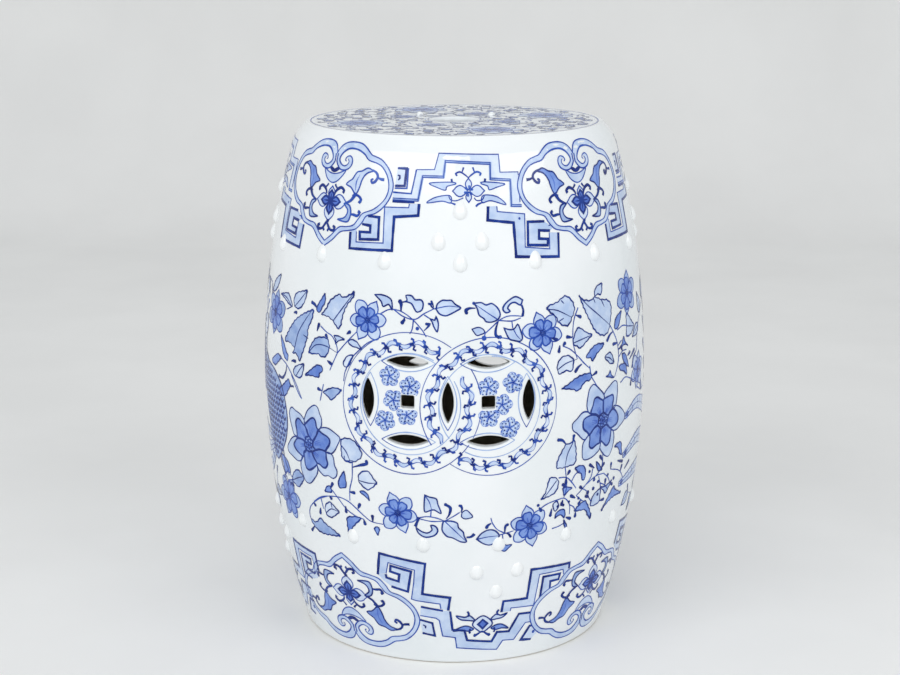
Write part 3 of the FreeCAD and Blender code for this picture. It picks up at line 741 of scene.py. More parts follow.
def cartouche(art, horn_tones):
    """A ruyi head around a flower. Its u is counted from its own middle."""
    for petal in RUYI_PETALS:
        art.fill(broad_petal(RUYI_MIDDLE, *petal), "pale", edge=1.0)
    for degrees, length, breadth in RUYI_HEARTS:
        art.fill(broad_petal(RUYI_MIDDLE, degrees, length, breadth), "blend", edge=1.8, edge_tone="line")
        rib = turned([(0.1, 0), (0.35, 0), (0.7, 0)], RUYI_MIDDLE, degrees, length)
        art.stroke(rib, 1.5, "line", widths=(1, 1, 0.2))
    art.dot(RUYI_MIDDLE, 2.4, "line")
    for put, horn_tone in zip((list, mirrored), horn_tones):
        # A horn in the lighter wash is the painted highlight on the first cartouche, so its outline is
        # lighter too.
        dark = "ink" if horn_tone == "wash" else "line"
        art.fill(put(RUYI_OUTER + RUYI_CURL[1:10] + [(-16, 436.4)] + RUYI_INNER[:-1][::-1]), "wash")
        art.stroke(put(RUYI_OUTER), 1.0)
        art.stroke(put(RUYI_INNER), 1.0, widths=(1, 1, 0.9, 1, 1, 1.5, 0.8))
        art.stroke(put(RUYI_CURL), 1.3, widths=(1, 1, 1, 0.8, 0.7))
        art.fill(put(RUYI_HORN), horn_tone, edge=1.2, edge_tone=dark)
        art.stroke(put([(-33, 425), (-30, 419), (-30, 412)]), 1.1, "blend", widths=(0.3, 1, 0.4))
        art.strokes(HORN_CURLS, dark, put)
        art.fill(put(RUYI_LEAF), "mid", edge=1.3, edge_tone=dark)
        art.strokes(LEAF_CURLS, dark, put)
        art.strokes(HEAD_CURLS, None, put)
    art.fill(RUYI_SHIELD, "wash", edge=1.0)
    art.fill(RUYI_CROWN, "line")
    art.dot((1.3, 385.2), 1.6, "line")


# Arches

# A fret is its outer and inner line, the hook inside it, and the points that close the hook's wash.
UPPER_OUTER = [(-52.9, 412.9), (-35.1, 412.3), (-31.3, 431.4), (-13.8, 431.7), (-10, 444.5), (49, 443.2),
               (49.3, 429.2), (67.5, 428.9), (67, 405)]
UPPER_INNER = [(-52.9, 407.6), (-28.4, 407.4), (-25, 426.2), (-5, 426), (-3.5, 438.3), (40, 436.4),
               (39.4, 424.2), (59, 422.8), (58.3, 402.6), (68.4, 402.1)]
UPPER_RIGHT_FRET = (
    [(36.2, 402.6), (35.3, 391.7), (59.3, 388.9), (60, 361.7), (101.9, 358.9), (103.7, 378.3)],
    [(44.3, 402.5), (44.6, 398.3), (70.6, 395.4), (69, 368.9), (93.1, 365.8), (94, 379)],
    [(90, 388.3), (73.1, 388.9), (71.8, 370.4), (91.2, 368.9), (92.2, 373.9), (83.1, 374.8), (83.7, 381.4),
     (95, 380.4)], [(98.7, 382.6)],
)
UPPER_LEFT_FRET = (
    [(-27.2, 404.5), (-27.6, 395.2), (-50.1, 393.4), (-50.4, 366.4), (-92.6, 365.4), (-93.5, 384)],
    [(-36.3, 404.2), (-36.9, 401.2), (-60.1, 400.8), (-59.1, 372), (-86.3, 371.1), (-87.3, 385)],
    [(-78.8, 392.9), (-64.8, 392.3), (-64.1, 374.5), (-82.6, 373.6), (-83.3, 379.5), (-72.6, 379.8),
     (-72.9, 385.1), (-84.5, 386.1)], [],
)
UPPER_KEY = [(-50.1, 432), (-41.1, 432), (-42, 418.3), (-51.5, 418)]
UPPER_MIDDLE = (18.5, 415)

LOWER_OUTER = [(1.4, 53.7), (3.6, 35), (15.7, 34), (18.6, 24), (44.3, 21.3), (49.3, 30.6), (62, 30),
               (70.8, 46.6), (95.5, 45.4)]
LOWER_INNER = [(-9.4, 44.3), (-6.4, 28.4), (6.4, 27), (8, 16.3), (50.7, 12.4), (56.4, 21.3), (68.6, 20.6),
               (79.3, 36.3), (95.7, 36.3)]
LOWER_OUTER_END = [(-27, 57.2), (-5.6, 54.2)]
LOWER_INNER_END = [(-28.1, 48.3), (-12.6, 46.5)]
LOWER_LEFT_FRET = (
    [(-67.8, 84.4), (-64.2, 105.2), (-21.1, 99.4), (-24.9, 70), (1.4, 67.3), (-0.5, 54.5)],
    [(-59.1, 86.6), (-56.2, 97.3), (-31.2, 92.7), (-32.6, 80.2), (-35.8, 64.1), (-31.3, 63), (-8.3, 60.9),
     (-7.5, 56.1)],
    [(-59.4, 85.8), (-59.1, 82.6), (-47.3, 80.2), (-46, 87.1), (-54.8, 89), (-54, 94.6), (-34.5, 91.1),
     (-38.8, 71.1), (-54.9, 74.5)], [(-62, 79), (-67.8, 84.4)],
)
LOWER_RIGHT_FRET = (
    [(52, 50.5), (53.1, 61.3), (77.4, 61.3), (78.8, 89), (122.2, 87.3), (123, 70.9)],
    [(61, 50.5), (61.5, 53.7), (85.9, 52.8), (88.2, 82.8), (115.1, 82.5), (116.4, 77.7), (116.2, 67.5)],
    [(115.9, 67.5), (113.4, 65.7), (102, 67), (101.5, 73.8), (111.1, 73.8), (112, 79.1), (92.7, 79.7),
     (91.9, 60.8), (107.2, 59)], [(118, 62), (123, 70)],
)
LOWER_LEFT_KEY = [(-28.6, 44), (-16.4, 41.3), (-14.3, 28.4), (-27, 30.6)]
LOWER_RIGHT_KEY = [(95.7, 32.7), (85, 32), (77, 19), (89.3, 17.7)]
LOWER_MIDDLE = 33.6


def key(art, points, width, close=()):
    """A pale key at the foot of an arch. Its outline stays open on one side."""
    art.fill([*points, *close], "pale", sharp=True)
    art.stroke(points, width, sharp=True)


def upper_arch(art):
    """The stepped arch with its two key frets, between two cartouches."""
    art.fill(UPPER_OUTER + UPPER_INNER[::-1], "pale", sharp=True)
    art.stroke(UPPER_OUTER[:3], 1.2, "ink", sharp=True)
    art.stroke(UPPER_OUTER[2:], 0.8, "ink", sharp=True)
    for rise, width, tone in ((0, 2.2, "mid"), (0.7, 0.8, "ink"), (-0.8, 0.9, "ink")):
        art.stroke([(u, v + rise) for u, v in UPPER_INNER], width, tone, sharp=True)
    art.stroke([(-52.9, 405.6), (-31.6, 405.6)], 1.7, sharp=True)
    fret(art, *UPPER_RIGHT_FRET)
    art.dot((65.2, 392), 1.1)
    art.stroke([(94, 384.6), (97, 384.6), (98.9, 382.4)], 1.3, widths=(0.6, 1, 1))
    fret(art, *UPPER_LEFT_FRET)
    key(art, UPPER_KEY, 1.9)
    art.stroke([(-51.6, 416.1), (-39.6, 416.4), (-39.4, 432.3)], 1.3, "ink", sharp=True)
    art.stroke([(-49.7, 426.4), (-47.6, 426), (-47.3, 424.2), (-48.8, 422.6)], 1.6, widths=(0.6, 1, 1, 0.6))

    middle = UPPER_MIDDLE[0]
    for tip, height, way in ((-18, 421, 1), (53, 420, -1)):
        leaf_side = beside(tip, way, [(20, 422), (0, height), (8, 417.4), (15, 415.6), (16.4, 418.6)])
        art.fill(beside(middle, way, [(-12, 420.6)]) + leaf_side, edge=0.9)
    for tip, height, way in ((-20, 405.5, 1), (53, 403.5, -1)):
        art.fill(beside(tip, way, [(21, 411.4), (8, 410), (0, height), (14, 407), (22, 405.6)]), edge=0.9)
        stem = beside(tip, way, [(20, 411), (22, 408), (27, 407.4)])
        art.stroke(stem + beside(middle, way, [(-5, 409.6)]), 0.9)
        art.stroke(beside(tip, way, [(21, 406), (26, 404.4), (28, 402.6)]), 1.4, "ink",
                   widths=(0.6, 1, 1.2))
    for degrees, size in ((0, 15), (180, 15), (90, 10), (270, 9)):
        art.fill(turned(OGEE_PETAL, UPPER_MIDDLE, degrees, size), "pale", edge=0.9)
    for degrees in range(20, 380, 60):
        art.dot(turned([(1, 0)], UPPER_MIDDLE, degrees, 3.4)[0], 1.3, "petal")
        art.stroke(turned([(0.2, 0), (1, 0)], UPPER_MIDDLE, degrees, 4.4), 0.8)
    for way in (1, -1):
        art.stroke(beside(middle, way, [(0, 425.4), (3, 427.6), (8, 430), (12, 428.6), (10.6, 427)]), 1.3,
                   "ink", widths=(0.6, 1, 1, 1.1, 1))
        art.stroke(beside(middle, way, [(6, 429.6), (4.4, 433.6)]), 1.5, "ink", widths=(0.6, 1))
        art.stroke(beside(middle, way, [(15.4, 421.6), (16, 424.6)]), 1.7)


def lower_arch(art):
    """The stepped band of the foot, a looser hand than the upper one."""
    art.fill(LOWER_OUTER_END + LOWER_OUTER + (LOWER_INNER_END + LOWER_INNER)[::-1], sharp=True)
    art.stroke(LOWER_OUTER, 2.1, sharp=True)
    art.stroke(LOWER_OUTER_END, 2.0, sharp=True)
    art.stroke(LOWER_INNER_END + LOWER_INNER, 1.0, sharp=True)
    fret(art, *LOWER_LEFT_FRET)
    fret(art, *LOWER_RIGHT_FRET)
    key(art, LOWER_LEFT_KEY, 2.0)
    art.stroke([(-26, 39), (-23.4, 37.6), (-23.8, 35.6)], 1.5, widths=(0.6, 1, 0.8))
    key(art, LOWER_RIGHT_KEY, 2.4, [(96, 24)])
    art.dot((90.7, 25.3), 1.8)

    middle = LOWER_MIDDLE
    for way, reach in ((1, 20), (-1, 22)):
        high = [(8, 44), (13, 49), (18, 47.6), (reach + 4, 49), (reach, 45.4), (15, 44.4)]
        low = [(9, 35.4), (15, 38.6), (21, 37.8), (reach + 7, 33.6), (20, 34.4), (14, 33.4)]
        art.fill(beside(middle, way, high), edge=1.4, edge_tone="line")
        art.fill(beside(middle, way, low), "petal", edge=1.3, edge_tone="line")
        art.stroke(beside(middle, way, [(15, 48), (14, 51), (15.6, 53.4)]), 1.7)
        art.stroke(beside(middle, way, [(12, 36), (13, 33), (12, 31)]), 1.7)
        art.stroke(beside(middle, way, [(0, 33), (4, 30.4), (7, 28.6)]), 1.8, widths=(0.7, 1, 1.3))
        art.dot(beside(middle, way, [(7.2, 28.8)])[0], 1.7, "line")
    petals = [(-10, 40), (-7, 44.6), (0, 48.4), (7, 44.6), (10, 40), (7, 36), (0, 31.8), (-7, 36)]
    art.fill(beside(middle, 1, petals), "pale", edge=1.3, edge_tone="line")
    heart = beside(middle, 1, [(-4.6, 40), (0, 44.4), (5, 40.4), (0.4, 35.4)])
    art.fill(heart, "blend", sharp=True, edge=1.8, edge_tone="line")


# Medallions

# The painted rings of the front medallion: their middles and sizes, and from where to where
# each coin shows, in degrees, because it passes under the other one on a short stretch.
RING_MIDDLES = ((-32.5, 241.0), (35.5, 239.0))
RING_RADII = (60.0, 58.5)
RING_SHOWN = ((54, 391), (235, 573))
BAND_SHOWN = ((61, 389), (240, 577))
BAND_RADIUS = 50.5
INNER_RADIUS = 43.0
RING_POINTS = 48
SCROLL_LINKS = 27

# Half the side of a square opening, and half the length and width of the line about a pointed
# one and of the place that the paint keeps clear of.
SQUARE_HALF = 6.6
LENS_HALF = 23.0
LENS_BULGE = 7.4
OPEN_HALF = 18.6
OPEN_BULGE = 6.2

# The blossoms about the square openings: place and turn.
BLOSSOM_SIZE = 9.0
BLOSSOMS = (
    ((-49, 264), 20),
    ((-53, 226), 50),
    ((-31.5, 256), 18),
    ((-45.5, 244), 54),
    ((-34, 232), 90),
    ((54.5, 259), 30),
    ((51.5, 221), 10),
    ((33.5, 256), 18),
    ((45, 241), 0),
    ((34, 231), 90),
)


def scroll(art, centre, start, end):
    """The tendril between a coin's two rings: a washed wave with inked edges, knots and hooked ticks."""
    links = round((end - start) / 360 * SCROLL_LINKS)
    step = (end - start) / links

    def at(link, *spots):
        return [turned([(BAND_RADIUS + rise, 0.0)], centre, start + (link + share) * step)[0]
                for share, rise in spots]

    for k in range(links):
        side = 1 if k % 2 else -1
        wave = at(k, (-0.04, -0.9 * side), (0.25, 1.6 * side), (0.55, 2.3 * side), (0.85, 1.0 * side),
                  (1.04, -0.9 * side))
        art.stroke(wave, 3.7, "pale" if k % 3 == 1 else "wash", widths=(0.6, 0.9, 1.1, 0.9, 0.6), shake=0.4)
        for edge, tone, width in ((1.7 * side, "blend", 0.8), (-1.6 * side, "ink", 0.9)):
            line = at(k, (0.02, edge * 0.6), (0.26, 1.6 * side + edge), (0.56, 2.3 * side + edge),
                      (0.96, edge * 0.6))
            art.stroke(line, width, tone, widths=(1.7, 0.7, 0.4, 1.4))
        lean = 0.12 * math.sin(k * 2.4)
        knot = at(k, (-0.2, 0.9 * side), (-0.04, 0.3), (0.16, 0.8 * side))
        art.stroke(knot, 2.6, "line" if k % 3 else "ink", widths=(0.3, 1.2, 0.3))
        for way, spot, tone in ((1, lean, "ink"), (-1, lean * 0.5 - 0.12, "line")):
            tick = at(k, (spot - 0.04, way * 0.8), (spot + 0.02, way * 2.8), (spot + 0.03, way * 3.9),
                      (spot + 0.2 * way, way * 4.7))
            art.stroke(tick, 1.7, tone, widths=(1.3, 0.8, 0.9, 1.1))


def lens_places(u, v):
    """The middles of the four pointed openings about a square one, and whether each is upright."""
    half = COIN_PITCH / 2
    return (((u + half, v), True), ((u - half, v), True), ((u, v + half), False), ((u, v - half), False))


def mask_openings(art, holes):
    """Keeps the paint off the pierced squares and lenses."""
    for u, v in holes:
        corners = [(u + SQUARE_HALF * x, v + SQUARE_HALF * y)
                   for x, y in ((-1, -1), (1, -1), (1, 1), (-1, 1))]
        art.mask([corner for corner in corners for _ in range(2)])
        for (lens_u, lens_v), upright in lens_places(u, v):
            lens = [(-OPEN_HALF, 0), (-OPEN_HALF, 0), (0, OPEN_BULGE), (OPEN_HALF, 0), (OPEN_HALF, 0),
                    (0, -OPEN_BULGE)]
            art.mask([(lens_u + y, lens_v + x) if upright else (lens_u + x, lens_v + y) for x, y in lens])


def lens_frame(art, centre, upright):
    """The pale double line around a pointed opening."""
    for side in (-1, 1):
        points = []
        for k in range(-5, 6):
            along = k / 5
            out = side * LENS_BULGE * (1 - along ** 2)
            points.append((centre[0] + out, centre[1] + LENS_HALF * along) if upright
                          else (centre[0] + LENS_HALF * along, centre[1] + out))
        art.stroke(points, 1.0, "mid", widths=(0.7, 1, 0.7))
        art.stroke(points[:4], 0.7, "ink", widths=(1, 0.3))


def medallion(art):
    """The two painted coins around the pierced ones, with blossoms about the square holes."""
    holes = ((-COIN_PITCH / 2, FRONT_HEIGHT), (COIN_PITCH / 2, FRONT_HEIGHT))
    mask_openings(art, holes)
    for centre, radius, ring, band in zip(RING_MIDDLES, RING_RADII, RING_SHOWN, BAND_SHOWN):
        outer = arc_points(centre, radius, *ring, RING_POINTS)
        inner = arc_points(centre, INNER_RADIUS, *band, RING_POINTS)
        art.stroke(outer, 0.8, widths=(0.7, 1, 0.6, 1.2, 1, 0.7, 1.1))
        art.stroke(inner, 0.9, "mid", widths=(1, 0.6, 1, 0.7, 1))
        scroll(art, centre, *band)
    for u, v in holes:
        right, left, above, below = lens_places(u, v)
        for centre, upright in (right if u > 0 else left, above, below):
            lens_frame(art, centre, upright)
    lens_frame(art, (0, FRONT_HEIGHT), True)
    for spot, turn in BLOSSOMS:
        blossom(art, spot, BLOSSOM_SIZE, turn)
    art.masks.clear()


# Gardens

# Each leaf is its tone, its outline from the tip on, and its veins. Then come the stems, and the
# drops, which are strokes that swell to a round end.
LEFT_LEAVES = (
    ("wash", [(-84, 331), (-85, 326), (-90, 320), (-94, 312), (-97, 300), (-100, 299), (-105, 304),
              (-111, 307), (-118, 308), (-113, 314), (-110, 320), (-105, 324), (-100, 327), (-95, 325),
              (-88, 328)], [(-105, 304), (-97, 314), (-85, 329)]),
    ("petal", [(-116, 326), (-115, 319), (-118, 314), (-121, 309), (-125, 311), (-123, 316), (-120, 320)]),
    ("wash", [(-139, 325), (-147, 323), (-155, 320), (-158, 314), (-156, 309), (-150, 308), (-145, 311),
              (-141, 317)], [(-156, 309), (-148, 316), (-139, 325)]),
    ("wash", [(-184, 315), (-176, 317), (-169, 318), (-164, 314), (-160, 308), (-166, 309), (-174, 312)],
     [(-170, 304), (-165, 306), (-160, 308)], [(-184, 315), (-172, 314), (-161, 308)]),
    ("mid", [(-129, 310), (-137, 307), (-145, 303), (-153, 298), (-159, 292), (-165, 285), (-170, 277),
             (-162, 277), (-153, 273), (-156, 269), (-150, 269), (-145, 264), (-142, 270), (-138, 279),
             (-135, 288), (-135, 293), (-130, 303)], [(-153, 274), (-148, 288), (-139, 300), (-131, 309)],
     [(-134, 285), (-141, 287)]),
    ("mid", [(-133, 273), (-130, 280), (-124, 287), (-116, 289), (-110, 288), (-108, 281), (-111, 274),
             (-116, 272), (-121, 274), (-126, 273)], [(-133, 273), (-124, 281), (-112, 282), (-99, 278)]),
    ("wash", [(-92, 290), (-97, 292), (-103, 292), (-101, 289), (-101, 286), (-97, 289)]),
    ("wash", [(-75, 284), (-79, 289), (-84, 291), (-88, 289), (-85, 286), (-80, 285)]),
    ("pale", [(-83, 278), (-88, 277), (-92, 272), (-92, 268), (-88, 268), (-85, 273)]),
    ("petal", [(-179, 280), (-172, 274), (-167, 267), (-164, 265), (-165, 260), (-170, 262), (-175, 268)]),
    ("wash", [(-139, 262), (-146, 260), (-153, 256), (-154, 251), (-148, 249), (-143, 250), (-140, 256)],
     [(-150, 250), (-145, 256), (-139, 262)]),
    ("petal", [(-137, 253), (-129, 254), (-120, 254), (-119, 257), (-115, 261), (-117, 264), (-122, 264),
               (-128, 260)]),
    ("petal", [(-154, 239), (-160, 238), (-168, 229), (-176, 227), (-180, 232), (-173, 237), (-163, 244),
               (-160, 240)]),
    ("petal", [(-177, 260), (-184, 262), (-191, 259), (-200, 253), (-191, 251), (-184, 255)]),
    ("mid", [(-94, 247), (-99, 242), (-105, 237), (-110, 240), (-114, 242), (-108, 246), (-101, 248)]),
    ("wash", [(-96, 204), (-90, 206), (-83, 205), (-78, 200), (-75, 194), (-77, 190), (-83, 186),
              (-90, 185), (-95, 188), (-96, 196)], [(-96, 199), (-91, 194), (-87, 186)],
     [(-93, 190), (-92, 186), (-84, 187)]),
    ("pale", [(-62, 170), (-66, 175), (-69, 179), (-74, 179), (-79, 175), (-79, 169), (-75, 165),
              (-71, 163), (-66, 166)], [(-79, 170), (-70, 169), (-62, 170)]),
    ("petal", [(-94, 176), (-93, 169), (-93, 162), (-100, 160), (-101, 165), (-98, 171)]),
    ("petal", [(-70, 153), (-73, 156), (-79, 160), (-75, 161), (-71, 158)]),
    ("pale", [(-103, 137), (-108, 141), (-113, 144), (-118, 141), (-120, 136), (-118, 131), (-113, 130),
              (-108, 133)], [(-119, 133), (-112, 138), (-103, 137)], [(-112, 143), (-111, 139)]),
    ("petal", [(-118, 153), (-115, 158), (-111, 159), (-110, 154)]),
    ("mid", [(-105, 114), (-112, 118), (-120, 121), (-125, 124), (-128, 126), (-131, 123), (-136, 120),
             (-142, 122), (-139, 117), (-132, 113), (-124, 112), (-114, 113)]),
    ("petal",
     [(-94, 116), (-95, 124), (-95, 130), (-94, 134), (-85, 136), (-80, 135), (-86, 129), (-91, 123)]),
    ("mid", [(-167, 151), (-164, 158), (-158, 163), (-153, 164), (-146, 159), (-150, 153), (-156, 148),
             (-161, 149)], [(-167, 151), (-157, 156), (-146, 160)]),
    ("petal", [(-186, 172), (-178, 170), (-172, 167), (-169, 160), (-170, 157), (-176, 157), (-180, 155),
               (-183, 163)]),
    ("wash", [(-188, 331), (-195, 328), (-203, 322), (-206, 314), (-198, 316), (-191, 323)]),
    ("petal", [(-64, 122), (-67, 128), (-64, 130), (-62, 128)]),
)
LEFT_STEMS = (
    [(-119, 298), (-112, 294), (-105, 291), (-100, 284), (-99, 278)],
    [(-99, 278), (-103, 270), (-107, 262)], [(-99, 278), (-90, 288), (-80, 298)],
    [(-60, 294), (-69, 290), (-76, 284), (-84, 276), (-88, 269), (-91, 262), (-92, 255)],
    [(-177, 260), (-171, 258), (-166, 256), (-158, 250), (-150, 242), (-142, 231)],
    [(-158, 249), (-151, 240), (-145, 233), (-142, 231)], [(-114, 249), (-118, 234)],
    [(-85, 185), (-86, 171), (-89, 161), (-90, 150)],
    [(-134, 140), (-125, 146), (-116, 149), (-102, 151), (-92, 149), (-84, 144), (-76, 138), (-69, 134),
     (-58, 133)], [(-109, 156), (-102, 149), (-95, 142), (-86, 137), (-77, 135)],
    [(-116, 149), (-127, 144), (-137, 137), (-142, 131), (-143, 124), (-140, 118)],
    [(-124, 145), (-122, 136)],
)
LEFT_DROPS = (
    [(-124, 312), (-128, 315), (-131, 316)], [(-157, 303), (-155, 304), (-153, 304)],
    [(-123, 293), (-122, 296), (-121, 299)], [(-110, 289), (-112, 291)], [(-90, 295), (-87, 297)],
    [(-158, 261), (-155, 262), (-152, 262)], [(-166, 256), (-168, 249), (-174, 243), (-181, 243)],
    [(-116, 243), (-120, 244)], [(-110, 270), (-106, 268)],
    [(-85, 181), (-77, 184), (-71, 186), (-71, 188)], [(-90, 158), (-85, 158)], [(-82, 144), (-80, 148)],
    [(-68, 134), (-68, 139)], [(-77, 135), (-76, 131)], [(-95, 144), (-95, 139)],
    [(-111, 157), (-108, 162)], [(-113, 150), (-111, 148)], [(-135, 139), (-133, 137)],
    [(-126, 136), (-127, 131)], [(-138, 116), (-143, 111)], [(-172, 145), (-170, 148), (-166, 147)],
)

RIGHT_LEAVES = (
    ("wash", [(86, 318), (89, 320), (97, 322), (102, 325), (107, 326), (113, 321), (115, 314), (112, 308),
              (108, 302), (102, 302), (97, 306), (95, 310), (90, 314)], [(87, 317), (97, 315), (111, 308)],
     [(101, 323), (104, 320)], [(98, 306), (103, 308)]),
    ("wash", [(121, 325), (125, 321), (134, 319), (140, 321), (148, 318), (157, 316), (162, 311),
              (161, 302), (157, 291), (151, 287), (143, 289), (137, 294), (132, 302), (126, 313)],
     [(123, 322), (132, 314), (144, 305), (159, 294)], [(138, 320), (140, 316)], [(148, 318), (152, 311)]),
    ("wash", [(151, 331), (145, 330), (141, 327), (140, 322), (144, 323), (148, 322), (150, 325)]),
    ("wash",
     [(134, 290), (127, 293), (119, 298), (115, 295), (112, 286), (116, 283), (120, 281), (126, 285)],
     [(112, 286), (122, 288), (134, 290)]),
    ("pale", [(112, 272), (107, 276), (101, 276), (97, 273), (95, 268), (97, 262), (104, 264), (110, 263)],
     [(96, 266), (104, 270), (116, 272)]),
    ("petal",
     [(149, 280), (141, 281), (134, 279), (126, 272), (131, 271), (134, 268), (139, 273), (146, 277)]),
    ("wash", [(163, 261), (161, 267), (157, 271), (150, 268), (154, 264), (158, 261)],
     [(151, 268), (157, 266), (163, 261)]),
    ("petal", [(99, 249), (106, 252), (114, 256), (124, 258), (132, 257), (131, 252), (124, 251),
               (117, 245), (110, 247)]),
    ("petal", [(151, 251), (155, 252), (157, 255), (159, 251), (163, 248), (158, 249)]),
    ("petal", [(179, 303), (171, 300), (167, 296), (166, 290), (171, 290), (175, 295)]),
    ("wash", [(205, 286), (199, 291), (189, 299), (188, 288), (187, 280), (193, 279), (200, 281)],
     [(188, 288), (205, 285)]),
    ("petal", [(171, 271), (177, 274), (181, 280), (184, 275), (189, 271), (183, 273)]),
    ("petal", [(177, 266), (183, 265), (187, 259), (190, 252), (184, 255), (179, 260)]),
    ("petal", [(171, 256), (177, 257), (184, 255), (186, 246), (180, 250), (174, 252)]),
    ("wash", [(113, 204), (116, 194), (116, 182), (110, 180), (97, 180), (97, 187), (100, 193), (105, 200),
              (110, 200)], [(112, 200), (107, 191), (105, 181)]),
    ("pale",
     [(82, 154), (86, 159), (88, 166), (90, 172), (95, 172), (99, 168), (98, 161), (94, 157), (87, 155)],
     [(97, 169), (92, 163), (86, 156)]),
    ("petal", [(104, 161), (109, 161), (114, 159), (110, 157), (106, 154)]),
    ("petal",
     [(116, 177), (122, 178), (127, 176), (129, 170), (128, 164), (125, 165), (124, 170), (120, 172)]),
    ("petal", [(151, 168), (146, 174), (142, 177), (144, 171), (146, 168)]),
    ("wash", [(152, 151), (152, 144), (151, 138), (140, 137), (141, 145), (146, 149)]),
    ("mid", [(169, 154), (164, 148), (160, 144), (156, 148), (151, 152), (158, 151)]),
    ("petal", [(119, 137), (124, 141), (131, 144), (135, 140), (140, 132), (142, 126), (138, 128),
               (133, 135), (126, 136)]),
    ("petal",
     [(157, 129), (163, 136), (169, 143), (174, 147), (178, 143), (190, 137), (178, 137), (168, 135)]),
    ("pale", [(99, 150), (95, 148), (96, 143), (98, 141), (101, 145)]),
    ("petal",
     [(98, 134), (99, 139), (103, 141), (107, 141), (109, 137), (108, 133), (105, 136), (101, 136)]),
    ("petal", [(114, 119), (112, 125), (108, 131), (110, 124)]),
    ("petal", [(168, 185), (174, 187), (180, 186), (182, 179), (184, 174), (179, 176), (175, 182)]),
)
RIGHT_STEMS = (
    [(119, 315), (114, 306), (112, 296), (112, 286), (114, 278), (116, 272)],
    [(101, 285), (109, 281), (117, 274), (124, 267), (130, 262)],
    [(130, 264), (132, 255), (136, 249), (140, 244), (146, 239), (149, 236)],
    [(159, 294), (167, 282), (170, 274), (171, 264), (168, 255), (164, 248)], [(105, 180), (107, 170)],
    [(99, 171), (107, 170), (113, 165), (119, 158)], [(138, 172), (136, 164), (127, 156), (120, 151)],
    [(131, 159), (143, 164), (154, 164)],
    [(81, 145), (89, 149), (99, 151), (107, 151), (113, 144), (114, 135)],
    [(96, 125), (103, 126), (109, 128)], [(170, 288), (180, 290), (190, 288)],
    [(174, 241), (183, 244), (193, 241), (205, 236)], [(147, 163), (150, 156), (152, 150)],
    [(165, 165), (176, 162)], [(107, 170), (108, 161), (106, 152)], [(113, 165), (117, 171), (122, 173)],
    [(127, 156), (133, 152), (136, 146), (140, 141)], [(120, 151), (126, 146), (131, 143)],
    [(143, 164), (149, 169), (151, 176), (150, 184)], [(154, 164), (162, 158), (166, 152)],
    [(113, 144), (118, 141), (121, 136)], [(150, 156), (158, 152), (163, 147)],
    [(176, 162), (184, 158), (192, 150)], [(171, 264), (178, 268), (186, 268)], [(170, 274), (177, 278)],
)
RIGHT_DROPS = (
    [(149, 169), (153, 173)], [(151, 176), (147, 181)], [(166, 152), (170, 150)], [(158, 152), (158, 157)],
    [(121, 136), (121, 132)], [(108, 161), (104, 164)], [(136, 146), (132, 148)], [(126, 146), (124, 143)],
    [(184, 158), (186, 163)], [(178, 268), (176, 272)], [(188, 262), (193, 264)], [(111, 291), (106, 292)],
    [(116, 309), (121, 307)], [(121, 267), (117, 265), (114, 262)], [(101, 285), (103, 287)],
    [(98, 286), (97, 281)], [(90, 293), (95, 291)], [(163, 288), (158, 286), (154, 282)],
    [(170, 277), (163, 277)], [(133, 255), (138, 257)], [(105, 200), (101, 204), (97, 205)],
    [(112, 200), (113, 206)], [(81, 147), (83, 144)], [(108, 172), (110, 175)], [(107, 170), (107, 165)],
    [(140, 172), (134, 176)], [(141, 164), (141, 161)], [(127, 156), (124, 158)], [(119, 149), (114, 152)],
    [(151, 139), (158, 139)], [(142, 130), (141, 126)], [(94, 144), (93, 138)], [(105, 150), (104, 146)],
    [(110, 133), (115, 131)], [(165, 165), (165, 170)], [(176, 170), (186, 167)], [(186, 137), (190, 137)],
    [(159, 131), (158, 129)], [(196, 240), (195, 235)], [(192, 258), (204, 264)], [(193, 158), (203, 163)],
)
RIGHT_DOTS = (
    (134, 151, 2), (141, 153, 1.8), (80, 149, 1.5), (172, 155, 1.8), (123, 148, 1.4), (134, 170, 1.5),
    (147, 158, 1.6), (161, 161, 1.5), (100, 145, 1.3), (106, 145, 1.4), (112, 147, 1.3), (148, 146, 1.5),
)


def garden_left(art):
    foliage(art, LEFT_LEAVES, LEFT_STEMS, LEFT_DROPS)
    flower(art, (-70, 308.6), 17, 11, 4)
    large_flower(art, (-134.7, 191.5), LEFT_BLOOM)
    flower(art, (-194, 297), 20, 14, 20, outer_tone="mid")
    flower(art, (-178, 133), 20, 15, 0, outer_tone="mid")


def garden_right(art):
    foliage(art, RIGHT_LEAVES, RIGHT_STEMS, RIGHT_DROPS)
    for u, v, radius in RIGHT_DOTS:
        art.dot((u, v), radius, "line")
    flower(art, (82, 298), 17.5, 12, 48)
    large_flower(art, (147.7, 213.2), RIGHT_BLOOM)
    flower(art, (73, 131), 18, 12.5, 43)
    flower(art, (193, 316), 19, 13, 20, outer_tone="mid")


